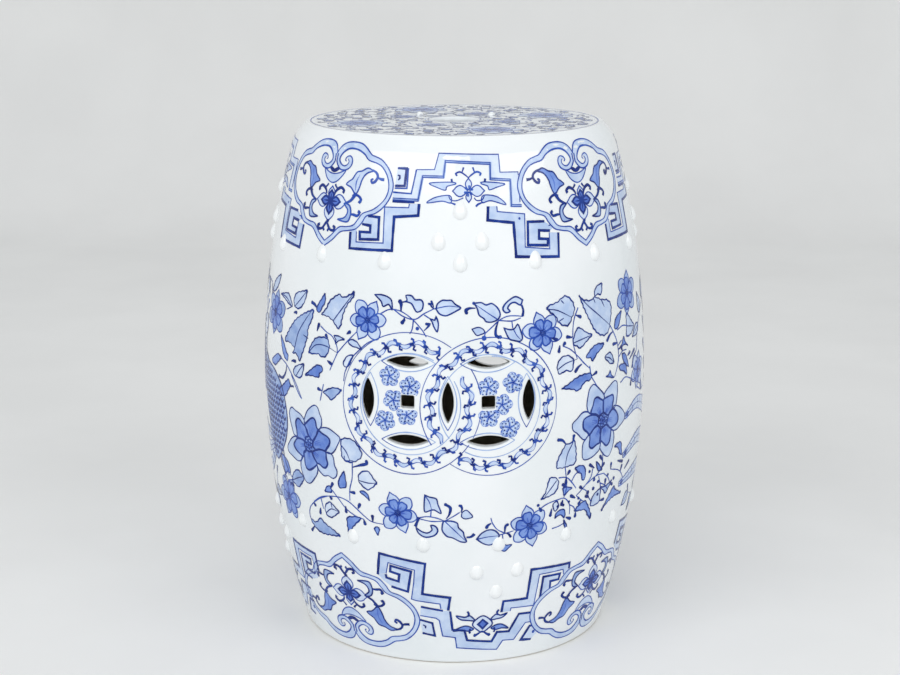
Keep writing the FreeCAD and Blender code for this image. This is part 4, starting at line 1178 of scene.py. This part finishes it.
def garden_top(art):
    twigs(art, [(-58, 315), (-50, 319), (-40, 318), (-30, 312), (-22, 304), (-18, 298)],
          [(-46, 319), (-38, 314), (-28, 312), (-20, 317), (-12, 321)],
          [(-29, 312), (-30, 304), (-32, 300)], [(-20, 316), (-15, 313)])
    shape(art, [(-64, 330), (-58, 325), (-56, 321), (-51, 323), (-48, 319), (-48.5, 326), (-52, 329),
                (-58, 330.4)])
    shape(art, [(-41, 325), (-36, 326), (-31, 324.6), (-28, 320), (-26, 318), (-22, 320), (-21, 325),
                (-23, 328), (-28, 328), (-31, 331), (-36, 331), (-35, 327)])
    comma(art, [(-40, 318), (-40, 322), (-40, 324), (-41, 326)], 2.8)
    shape(art, [(-10, 321), (-9, 325), (-5, 328), (-1, 328), (3, 328), (6, 325), (10.5, 322), (7, 319.6),
                (2, 317), (-2, 315.6), (-7, 317)], vein=[(-12, 321), (0, 323.4), (9, 322.6)])
    comma(art, [(-12, 321), (-14, 323), (-15, 325), (-16, 325)], 1.6)
    comma(art, [(-12, 321), (-12.6, 324), (-13.6, 326), (-14, 327)], 1.4)
    shape(art, [(-15, 313), (-11, 312), (-10, 314.6), (-8, 309), (-9, 302.6), (-12, 307), (-13, 310)])
    comma(art, [(-37, 313), (-37, 311), (-38, 310), (-38.6, 309)], 2.6)
    comma(art, [(-20, 303), (-17, 306), (-15.6, 308.4), (-18, 308.6)], 1.8)
    art.dot((-25.6, 304.6), 1.6)
    twigs(art, [(31, 301), (37, 306), (43, 311), (50, 314), (58, 314), (64, 313)],
          [(43, 311), (54, 310), (62, 312)], [(54, 310), (54.6, 304)])
    shape(art, [(22, 325.6), (28, 326), (32, 324), (37, 325), (42, 321), (44, 316), (42, 312), (37, 310),
                (32, 310.4), (30, 313), (26, 316), (24.6, 321)], vein=[(43, 311), (34, 317), (23, 324.6)])
    art.dot((21.6, 325.6), 1.4)
    comma(art, [(23, 321.6), (18, 321.6), (15, 320), (15.4, 318)], 2.2)
    shape(art, [(64, 326.6), (58, 329.6), (52, 327), (48, 323.6), (46.4, 320), (49, 317), (52.6, 318),
                (50.6, 320.6), (53, 324), (57, 325), (62, 322.6)])
    art.stroke([(63, 322.6), (64.4, 318), (63.6, 313.4)], 1.9, widths=(0.8, 1, 1.3))
    shape(art, [(20, 304.6), (25, 306), (29, 304.6), (30.6, 301.6), (27, 300), (23.6, 299.6)], line=1.0)
    art.stroke([(42, 310), (40, 304), (40, 299), (43, 297)], 2.0, widths=(0.6, 0.9, 1.2, 1.5))
    art.dot((43.6, 297.4), 1.6)
    art.dot((30, 297), 2.2)
    twigs(art, [(30, 297), (31, 301)])
    shape(art, [(47, 304.6), (52, 303), (56, 303.6), (59, 307), (61, 303), (63, 296), (61, 293), (55, 294),
                (51, 296)], vein=[(55, 303.6), (58, 298), (62, 293.6)])


def garden_bottom(art):
    twigs(art, [(-26, 142), (-18, 143.6), (-10, 142.6), (-3, 140)], [(-24, 141), (-14, 139.4), (-3, 140)],
          [(-15, 143.6), (-14.4, 150)], [(-3, 140), (4, 144), (10, 148)])
    flower(art, (-44, 145), 17.5, 11.5, 50)
    shape(art, [(-19.6, 163), (-20.4, 155), (-20, 148), (-16, 149), (-12, 150), (-6, 147), (-8.6, 155),
                (-10, 160), (-15.6, 161.4)], vein=[(-19.6, 162.6), (-16, 157), (-14, 150)])
    shape(art, [(-28, 133), (-26, 128), (-20, 124.6), (-12, 126.6), (-9, 131), (-11, 135), (-15, 135.6),
                (-14, 131.6), (-18, 128.6), (-23, 129.6)])
    art.stroke([(-25, 142.6), (-27, 138), (-28.6, 134)], 2.6, widths=(1, 0.8, 1.2))
    comma(art, [(-1.6, 142), (1, 146), (2, 152), (-2, 155)], 2.2)
    shape(art, [(12, 148), (15.6, 150), (19, 147), (21, 143.6), (15, 142), (11.6, 144)], line=1.0)
    comma(art, [(11, 148), (12, 151), (11, 154), (10, 154)], 1.8)
    shape(art, [(-4, 140), (3, 140), (8, 138), (9, 134), (13, 130), (14, 126), (16, 121), (11, 121),
                (4, 124.6), (-1, 126), (-5, 131), (-5, 136)], vein=[(-3, 140), (6, 131), (15, 122)])
    art.stroke([(16, 125), (20, 125.4), (23, 128)], 2.0, widths=(0.8, 1, 1.4))
    shape(art, [(25, 123), (29, 128), (35, 131), (41, 130), (45, 125), (42, 119.6), (37, 117), (31, 118.6)],
          vein=[(25.6, 123), (35, 124.6), (44, 125)])
    twigs(art, [(45, 125.6), (50, 126.6), (58, 128.4)], [(50, 127), (43, 131), (38.6, 137), (37, 142)],
          [(48, 126), (49, 119), (50, 116)])
    comma(art, [(37.6, 137), (35.6, 136), (34, 134.6), (33.6, 133.6)], 2.4)
    comma(art, [(50, 127), (50, 131), (50.6, 134), (52, 134.6)], 2.2)
    comma(art, [(51, 127), (54, 125.6), (55, 124), (55.4, 123.4)], 1.8)
    shape(art, [(43.6, 112), (48, 111), (51, 110), (54, 112.6), (57, 115.6), (52, 115.6), (49.4, 117),
                (47, 114)], "petal", line=0.9)
    art.stroke([(49.6, 117), (46, 118), (45.6, 119.6)], 1.4)


# Birds at the sides

# The side of the bird that is away from its wing, from the neck round the breast to the rump.
BIRD_BODY = [(46, 254), (60, 250), (78, 246), (93, 236), (101, 220), (103, 204), (98, 188), (86, 173),
             (74, 164), (66, 172), (58, 188), (50, 204), (44, 220), (41, 238)]
BIRD_NECK = [(41, 240), (33, 254), (30, 268), (32, 280), (38, 288), (46, 290), (52, 285), (51, 277),
             (46, 268), (48, 258), (58, 250), (50, 236)]
BIRD_BEAK = [(20, 281), (20, 281), (29, 285), (36, 287), (33, 281), (29, 279)]
BIRD_TAIL = (
    ((66, 182), (32, 184), (-16, 202), (-56, 214), (-86, 208)),
    ((68, 176), (34, 166), (-8, 172), (-48, 180), (-84, 172)),
    ((70, 172), (42, 150), (2, 144), (-42, 150), (-86, 146)),
)
BIRD_WING = (
    ((46, 246), (14, 276), (-18, 300)),
    ((44, 241), (8, 264), (-26, 284)),
    ((42, 236), (4, 250), (-30, 264)),
    ((42, 230), (6, 236), (-24, 244)),
    ((44, 224), (14, 222), (-12, 226)),
)
CREST_TIPS = ((36, 303), (43, 306), (50, 302))
NECK_BANDS = 7

# Feathers of the tail, the wing and its cover: width, tone, barbs and perhaps the size of the eye.
TAIL_LOOK = (14, "wash", 14, 5.0)
WING_LOOK = (13, "mid", 10)
COVER_LOOK = (9, "petal", 5)

# Scales of the breast: the middle of their rows, their pitch, and the rows on each side.
SCALE_MIDDLE = (72, 208)
SCALE_PITCH = 6.4
SCALE_ROWS = 9

BIRD_FLOWERS = (((-56, 244), 17, 11, 15), ((8, 313), 17, 11, 5), ((22, 122), 17, 11.5, 20))
BIRD_STEMS = (
    [(-60, 262), (-52, 284), (-30, 300), (-10, 306)], [(24, 316), (40, 322), (58, 320)],
    [(4, 122), (-16, 128), (-36, 124), (-56, 130)], [(39, 124), (54, 132), (62, 146)],
    [(-56, 228), (-40, 222), (-24, 224)],
)
BIRD_LEAVES = (
    ((-52, 284), (-70, 276), 9, "wash"),
    ((-42, 293), (-50, 312), 11, "wash"),
    ((-26, 302), (-22, 322), 10, "petal"),
    ((40, 322), (50, 308), 9, "wash"),
    ((30, 318), (32, 333), 8, "pale"),
    ((-16, 128), (-8, 112), 10, "wash"),
    ((-36, 124), (-48, 110), 9, "petal"),
    ((-30, 126), (-26, 140), 8, "wash"),
    ((-56, 130), (-72, 122), 11, "wash"),
    ((54, 132), (70, 128), 9, "wash"),
    ((-40, 222), (-44, 232), 5, "petal"),
    ((48, 128), (54, 112), 8, "petal"),
)
BIRD_DROPS = (
    [(-60, 262), (-68, 258), (-72, 250)], [(-10, 306), (-8, 296), (-2, 292)], [(58, 320), (62, 312)],
    [(-20, 300), (-12, 300)], [(10, 140), (6, 136)], [(-56, 130), (-60, 138)], [(62, 146), (66, 154)],
)


def bird_scales(art):
    rows = range(-SCALE_ROWS, SCALE_ROWS + 1)
    for row in rows:
        for column in rows:
            u = SCALE_MIDDLE[0] + SCALE_PITCH * (column + row % 2 / 2)
            v = SCALE_MIDDLE[1] - SCALE_PITCH * 0.8 * row
            if all(inside(BIRD_BODY, u + du, v + dv) for du, dv in ((3, 0), (-3, 0), (0, 3), (0, -3))):
                art.stroke([(u - 3, v + 1), (u - 1.6, v - 2), (u + 1, v - 2.4), (u + 3, v + 0.6)], 2.1,
                           widths=(0.4, 1, 1, 0.4))
                art.stroke([(u, v + 1.4), (u, v - 1.2)], 2.2, "petal")


def bird(art):
    """A traditional long-tailed bird between two gardens, drawn about the side of the barrel."""
    for spine in BIRD_TAIL:
        feather(art, spine, *TAIL_LOOK)
    for spine in BIRD_WING:
        feather(art, spine, *WING_LOOK)
    for root, bend, _ in BIRD_WING:
        middle = ((root[0] + bend[0]) / 2, (root[1] + bend[1]) / 2 + 1)
        feather(art, (root, middle, bend), *COVER_LOOK)
    art.fill(BIRD_BODY, "mid", edge=1.5, edge_tone="line")
    bird_scales(art)
    art.fill(BIRD_NECK, "pale", edge=1.2, edge_tone="line")
    for k in range(NECK_BANDS):
        u = 35 + 1.6 * (k - 3) ** 2 * 0.4
        v = 278 - 5.2 * k
        art.stroke([(u, v), (u + 5, v - 2), (u + 10, v + 1)], 1.0, widths=(0.4, 1, 0.4))
    art.fill(BIRD_BEAK, "petal", edge=0.9)
    art.dot((40, 283), 1.6, "line")
    for tip in CREST_TIPS:
        art.stroke([(42, 289), ((42 + tip[0]) / 2 + 1, 296), tip], 1.2, widths=(0.7, 0.9, 1.1))
        art.dot(tip, 2.0, "petal")
    for u, v in ((82, 171), (90, 177)):
        foot = (u + 7, v - 17)
        art.stroke([(u, v), (u + 2, v - 9), foot], 1.5)
        for du in (-6, 0, 6):
            art.stroke([foot, (foot[0] + du, foot[1] - 6)], 1.0)
    for head in BIRD_FLOWERS:
        flower(art, *head)
    twigs(art, *BIRD_STEMS)
    for base, tip, width, tone in BIRD_LEAVES:
        leaf(art, base, tip, width, tone)
    for drop in BIRD_DROPS:
        comma(art, drop)


# Seat

# Radii of the rings of leaves, how far the leaves lie apart, how much of that distance a ring is
# turned from the next, and the width of a leaf.
SEAT_RINGS = (35, 51, 67, 83, 99, 114)
SEAT_PITCH = 14.5
SEAT_STAGGER = 0.37
SEAT_LEAF = 8.0

# The large and the small flower heads: distance from the middle, direction of the first in
# degrees, radius and petals. Then how many there are of each, how far each is turned from the
# last one, and the share of the radius that its inner lobes take.
SEAT_HEADS = ((88.0, -67, 25.0, 8), (50.0, -22, 13.0, 6))
SEAT_HEAD_COUNT = 4
SEAT_HEAD_TURN = 31
SEAT_HEAD_INNER = 0.66

# The lines about the rim and the hole: radius, width and tone.
SEAT_LINES = ((126.8, 1.0, "ink"), (23.5, 0.9, "ink"), (26.0, 0.6, "mid"))


def seat_clear(heads, x, y, room):
    return all(math.hypot(x - u, y - v) > radius + room for (u, v), radius, _ in heads)


def seat_filling(art, heads):
    """Stems, leaves and hooks that run round the seat in rings between the flower heads."""
    for ring, radius in enumerate(SEAT_RINGS):
        places = round(2 * math.pi * radius / SEAT_PITCH)
        way = 1 if ring % 2 else -1
        for k in range(places):
            turn = 360 / places * (k + ring * SEAT_STAGGER)

            def at(share, rise):
                return turned([(radius + rise, 0.0)], (0, 0), turn + way * share * 360 / places)[0]

            if seat_clear(heads, *at(0.5, 0), -3):
                art.stroke([at(0, -2), at(0.5, 2), at(1, -2)], 1.0, "ink")
            base = at(0.4, 1.5)
            kind = (k + ring) % 3
            side = 1 if (k + ring) % 2 else -1
            tip = at(0.95, side * 7.5)
            if not seat_clear(heads, *tip, 1) or not seat_clear(heads, *base, 0.5):
                continue
            if kind == 2:
                comma(art, [base, at(0.7, side * 3.5), at(0.62, side * 7), at(0.4, side * 6)], 2.4)
            else:
                leaf(art, base, tip, SEAT_LEAF, "petal" if kind else "wash", line=1.0)
            hook = at(0.15, -side * 5.5)
            if seat_clear(heads, *hook, 1):
                comma(art, [at(0.3, 0), at(0.22, -side * 3.5), hook], 2.1)


def paint_seat(materials):
    art = Painting("seat_painting", on_seat, seat_stretch)
    heads = []
    for k in range(SEAT_HEAD_COUNT):
        for distance, first, radius, petals in SEAT_HEADS:
            middle = turned([(distance, 0.0)], (0, 0), first + 360 / SEAT_HEAD_COUNT * k)[0]
            heads.append((middle, radius, petals))
    seat_filling(art, heads)
    for k, (centre, radius, petals) in enumerate(heads):
        flower(art, centre, radius, radius * SEAT_HEAD_INNER, SEAT_HEAD_TURN * k, petals)
    for radius, width, tone in SEAT_LINES:
        art.stroke(arc_points((0, 0), radius, 0, 356, 89), width, tone, closed=True)
    art.build(materials)


# The barrel

# The two bands of cartouches and arches: the u of the cartouches at both ends of the front arch,
# how far apart the others are, and the horns' tones of the first, whose right horn is in the lighter
# wash as a painted highlight.
UPPER_HEADS = (-123.0, 135.5)
UPPER_SECTOR = 277.0
UPPER_HORNS_WITH_HIGHLIGHT = ("petal", "wash")
LOWER_HEADS = (-106.4, 160.9)
LOWER_SECTOR = 271.0
PLAIN_HORNS = ("petal", "petal")

# The lower cartouches are the upper ones upside down: heights of the tip above and below, and how
# much broader and taller they are.
RUYI_TIP = 364.4
LOWER_TIP = 98
LOWER_BREADTH = 1.11
LOWER_TALLNESS = 1.035


def as_drawn(u, v):
    return u, v


def lower_head(u, v):
    """The place in a lower cartouche for a place in an upper one."""
    return u * LOWER_BREADTH, LOWER_TIP - (v - RUYI_TIP) * LOWER_TALLNESS


def shifted(du, scale=1.0, origin=0.0, first=as_drawn):
    """A move that sets a motif down elsewhere on the barrel, perhaps stretched about its origin."""
    def move(u, v):
        u, v = first(u, v)
        return du + (u - origin) * scale, v
    return move


def paint_band(art, arch, heads, sector, head, horns):
    """Arches and cartouches about the barrel. The cartouches cover the ends of the arches."""
    starts = [*heads, heads[1] + sector, heads[1] + 2 * sector, heads[0] + ROUND]
    outline = RUYI_OUTER + mirrored(RUYI_OUTER)[-2:0:-1]
    for start in starts[:-1]:
        art.move = shifted(start, first=head)
        for turn in (-ROUND, 0.0, ROUND):
            art.mask([(u + turn, v) for u, v in outline])
    for start, end in zip(starts, starts[1:]):
        art.move = shifted(start, scale=(end - start) / (heads[1] - heads[0]), origin=heads[0])
        arch(art)
    art.masks.clear()
    for start in starts[:-1]:
        art.move = shifted(start, first=head)
        cartouche(art, horns if start == heads[0] else PLAIN_HORNS)


def paint_wall(materials):
    """Every painted zone of the barrel."""
    paintings = [Painting(name + "_painting", on_wall, wall_stretch)
                 for name in ("upper_band", "lower_band", "medallion", "garden", "bird")]
    upper, lower, coins, garden, birds = paintings
    paint_band(upper, upper_arch, UPPER_HEADS, UPPER_SECTOR, as_drawn, UPPER_HORNS_WITH_HIGHLIGHT)
    paint_band(lower, lower_arch, LOWER_HEADS, LOWER_SECTOR, lower_head, PLAIN_HORNS)
    medallion(coins)
    coins.move = lambda u, v: (u + ROUND / 2, v - FRONT_HEIGHT + BACK_HEIGHT)
    medallion(coins)
    for half in (0.0, ROUND / 2):
        garden.move = shifted(half)
        for draw in (garden_left, garden_right, garden_top, garden_bottom):
            draw(garden)
    for quarter in (ROUND / 4, -ROUND / 4):
        birds.move = shifted(quarter)
        bird(birds)
    for art in paintings:
        art.build(materials)


# Materials

GLOSS = 0.09
PAINT_SHINE = 0.3

# Sizes of the clouds of tone in the glaze, the paint and the paper, and of the glaze's ripple.
GLAZE_CLOUDS = 9
PAINT_CLOUDS = 85
PAPER_CLOUDS = 3
CLOUD_DETAIL = 4.0
CLOUD_EDGES = (0.35, 0.65)
RIPPLE_SIZE = 38
RIPPLE_STRENGTH = 0.05
RIPPLE_DEPTH = 0.004

# Darker and lighter tone of each glaze and paint, as on a screen.
GLAZE_TONES = {
    "barrel_glaze": ((236, 241, 243), (244, 247, 249)),
    "seat_glaze": ((232, 238, 243), (241, 245, 248)),
    "boss_glaze": ((240, 244, 245), (247, 249, 250)),
}
PAINT_TONES = {
    "pale": ((204, 219, 244), (222, 233, 249)),
    "wash": ((180, 201, 236), (208, 223, 246)),
    "mid": ((138, 165, 217), (172, 195, 234)),
    "petal": ((94, 128, 208), (134, 164, 229)),
    "blend": ((64, 96, 190), (94, 128, 212)),
    "ink": ((24, 60, 158), (54, 94, 186)),
    "line": ((4, 32, 112), (20, 58, 146)),
}

# Bare porcelain: its tone and roughness, how deep below the outer face it begins, up to what
# height, and below what height the foot is bare, in millimetres.
BISCUIT_TONE = (214, 206, 190)
BISCUIT_ROUGHNESS = 0.8
BISCUIT_DEPTH = 7.2
BISCUIT_TOP = 440
FOOT_BARE = 0.8


def linear(*colour):
    """A colour as the shader needs it, from its values on a screen."""
    shares = (tone / 255 for tone in colour)
    return tuple(c / 12.92 if c <= 0.04 else ((c + 0.055) / 1.055) ** 2.4 for c in shares) + (1,)


def add_node(tree, kind, **values):
    """A new node with values for its inputs. In their names an underscore stands for a space."""
    node = tree.nodes.new("ShaderNode" + kind)
    for name, value in values.items():
        node.inputs[name.replace("_", " ")].default_value = value
    return node


def combine(tree, operation, *values):
    """The result of arithmetic on one or two values, each a number or another node's output."""
    node = add_node(tree, "Math")
    node.operation = operation
    for place, value in enumerate(values):
        if isinstance(value, float):
            node.inputs[place].default_value = value
        else:
            tree.links.new(value, node.inputs[place])
    return node.outputs[0]


def mottle(tree, tones, size):
    """Two tones mixed by a soft noise."""
    place = add_node(tree, "TexCoord")
    cloud = add_node(tree, "TexNoise", Scale=size, Detail=CLOUD_DETAIL)
    ramp = add_node(tree, "ValToRGB")
    for stop, position, tone in zip(ramp.color_ramp.elements, CLOUD_EDGES, tones):
        stop.position = position
        stop.color = linear(*tone)
    tree.links.new(place.outputs["Object"], cloud.inputs["Vector"])
    tree.links.new(cloud.outputs["Fac"], ramp.inputs["Fac"])
    return ramp.outputs["Color"]


def new_material(name, tones, clouds, roughness):
    """A material of two mottled tones. Gives its node tree and main shader too."""
    material = bpy.data.materials.new(name)
    material.use_nodes = True
    tree = material.node_tree
    shader = tree.nodes["Principled BSDF"]
    shader.inputs["Roughness"].default_value = roughness
    tree.links.new(mottle(tree, tones, clouds), shader.inputs["Base Color"])
    return material, tree, shader


def glaze_ripple(tree, shader):
    """The faint ripple of a fired glaze."""
    place = add_node(tree, "TexCoord")
    ripple = add_node(tree, "TexNoise", Scale=RIPPLE_SIZE, Detail=1.0)
    bump = add_node(tree, "Bump", Strength=RIPPLE_STRENGTH, Distance=RIPPLE_DEPTH)
    tree.links.new(place.outputs["Object"], ripple.inputs["Vector"])
    tree.links.new(ripple.outputs["Fac"], bump.inputs["Height"])
    tree.links.new(bump.outputs["Normal"], shader.inputs["Normal"])


def glaze_material(name):
    material, tree, shader = new_material(name, GLAZE_TONES[name], GLAZE_CLOUDS, GLOSS)
    glaze_ripple(tree, shader)
    return material


def paint_material(tone):
    material, tree, shader = new_material("cobalt_" + tone, PAINT_TONES[tone], PAINT_CLOUDS, GLOSS)
    shader.inputs["Specular IOR Level"].default_value = PAINT_SHINE
    glaze_ripple(tree, shader)
    return material


def barrel_material():
    """White glaze outside; bare porcelain inside the hollow and under the foot."""
    material = glaze_material("barrel_glaze")
    tree = material.node_tree
    shader = tree.nodes["Principled BSDF"]
    glaze = shader.inputs["Base Color"].links[0].from_socket
    place = add_node(tree, "TexCoord")
    split = add_node(tree, "SeparateXYZ")
    tree.links.new(place.outputs["Object"], split.inputs[0])
    x, y, z = split.outputs
    squares = combine(tree, "ADD", combine(tree, "MULTIPLY", x, x), combine(tree, "MULTIPLY", y, y))
    radius = combine(tree, "SQRT", squares)
    rise = combine(tree, "SUBTRACT", z, BELLY_HEIGHT * MM)
    reach = combine(tree, "SQRT", combine(
        tree, "SUBTRACT", (ARC * MM) ** 2, combine(tree, "MULTIPLY", rise, rise)))
    wall = combine(tree, "ADD", reach, AXIS_OFFSET * MM)
    depth = combine(tree, "SUBTRACT", wall, radius)
    hidden = combine(tree, "GREATER_THAN", depth, BISCUIT_DEPTH * MM)
    below = combine(tree, "LESS_THAN", z, FOOT_BARE * MM)
    low = combine(tree, "LESS_THAN", z, BISCUIT_TOP * MM)
    bare = combine(tree, "MULTIPLY", combine(tree, "MAXIMUM", hidden, below), low)
    biscuit = add_node(tree, "Mix")
    biscuit.data_type = "RGBA"
    biscuit.inputs["B"].default_value = linear(*BISCUIT_TONE)
    tree.links.new(bare, biscuit.inputs["Factor"])
    tree.links.new(glaze, biscuit.inputs["A"])
    tree.links.new(biscuit.outputs["Result"], shader.inputs["Base Color"])
    rough = add_node(tree, "MapRange", To_Min=GLOSS, To_Max=BISCUIT_ROUGHNESS)
    tree.links.new(bare, rough.inputs["Value"])
    tree.links.new(rough.outputs["Result"], shader.inputs["Roughness"])
    return material


def dress_frame():
    """Glaze for the nodes of the frame: all the bosses and pips share one."""
    looks = {"barrel_wall": barrel_material(), "seat_top": glaze_material("seat_glaze")}
    boss = glaze_material("boss_glaze")
    for name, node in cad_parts.items():
        node.data.materials.clear()
        node.data.materials.append(looks.get(name, boss))


# Stage, lights and camera

# The paper, in metres: half its width, the place of its back, its height there, and its curve.
FLOOR_HALF = 3.0
BACK_WALL = 2.4
BACK_TOP = 2.6
CURVE = 0.5
CURVE_STEPS = 16
PAPER_TONES = ((238, 238, 237), (243, 243, 242))
PAPER_ROUGHNESS = 0.9

# Light and strength of the world about it, and the tone in which the camera sees the world.
WORLD_LIGHT = (240, 243, 245)
WORLD_STRENGTH = 0.6
WORLD_SHOWN = (222, 223, 222)

# The lamps: name, place and size in metres, and power in watts. All of them aim at one place.
LAMPS = (
    ("key", (-1.3, -2.4, 2.05), (3.4, 1.5), 40),
    ("fill", (2.1, -1.9, 1.9), (2.0, 1.4), 22),
    ("top", (0, 0.1, 2.6), (2.4, 2.4), 5),
)
LAMP_AIM = (0, 0, 0.18)

# The camera of the photograph: turn and pitch in degrees, place before the turn, and lens.
CAMERA_TURN = 1.9
CAMERA_PITCH = 13.19
CAMERA_PLACE = (-3.92, -1570.0, 626.3)
FOCAL_LENGTH = 70.8
SENSOR_WIDTH = 36.0


def add_object(name, data):
    thing = bpy.data.objects.new(name, data)
    bpy.context.scene.collection.objects.link(thing)
    return thing


def light_world():
    """An even pale world. The camera and reflections see it in the paper's own tone."""
    world = bpy.data.worlds.new("studio")
    bpy.context.scene.world = world
    world.use_nodes = True
    tree = world.node_tree
    lit = tree.nodes["Background"]
    lit.inputs["Color"].default_value = linear(*WORLD_LIGHT)
    lit.inputs["Strength"].default_value = WORLD_STRENGTH
    shown = add_node(tree, "Background", Color=linear(*WORLD_SHOWN))
    path = add_node(tree, "LightPath").outputs
    seen = combine(tree, "MAXIMUM", path["Is Camera Ray"], path["Is Glossy Ray"])
    seen = combine(tree, "MAXIMUM", seen, path["Is Transmission Ray"])
    mix = add_node(tree, "MixShader")
    tree.links.new(seen, mix.inputs["Fac"])
    tree.links.new(lit.outputs["Background"], mix.inputs[1])
    tree.links.new(shown.outputs["Background"], mix.inputs[2])
    tree.links.new(mix.outputs["Shader"], tree.nodes["World Output"].inputs["Surface"])


def make_stage():
    """A pale seamless floor that curves up into the background."""
    rows = [(-FLOOR_HALF, 0.0), (BACK_WALL - CURVE, 0.0)]
    for k in range(1, CURVE_STEPS + 1):
        turn = math.pi / 2 * k / CURVE_STEPS
        rows.append((BACK_WALL - CURVE + CURVE * math.sin(turn), CURVE - CURVE * math.cos(turn)))
    rows.append((BACK_WALL, BACK_TOP))
    points = []
    for y, z in rows:
        points += [(-FLOOR_HALF, y, z), (FLOOR_HALF, y, z)]
    faces = [(k, k + 1, k + 3, k + 2) for k in range(0, len(points) - 2, 2)]
    mesh = bpy.data.meshes.new("backdrop")
    mesh.from_pydata(points, [], faces)
    mesh.polygons.foreach_set("use_smooth", [True] * len(faces))
    backdrop = add_object("backdrop", mesh)
    paper = new_material("backdrop_paper", PAPER_TONES, PAPER_CLOUDS, PAPER_ROUGHNESS)[0]
    mesh.materials.append(paper)


def light_scene():
    for name, place, size, power in LAMPS:
        light = bpy.data.lights.new(name, "AREA")
        light.shape = "RECTANGLE"
        light.size, light.size_y = size
        light.energy = power
        lamp = add_object(name, light)
        lamp.location = place
        lamp.rotation_euler = (Vector(LAMP_AIM) - Vector(place)).to_track_quat("-Z", "Y").to_euler()
    light_world()


def place_camera():
    data = bpy.data.cameras.new("camera")
    data.lens = FOCAL_LENGTH
    data.sensor_width = SENSOR_WIDTH
    camera = add_object("camera", data)
    turn = Matrix.Rotation(math.radians(CAMERA_TURN), 3, "Z")
    camera.location = turn @ Vector(CAMERA_PLACE) * MM
    camera.rotation_euler = (math.radians(90 - CAMERA_PITCH), 0, math.radians(CAMERA_TURN))
    bpy.context.scene.camera = camera


dress_frame()
paints = {tone: paint_material(tone) for tone in TONES}
paint_wall(paints)
paint_seat(paints)
make_stage()
light_scene()
place_camera()
bpy.context.scene.view_settings.view_transform = "Standard"
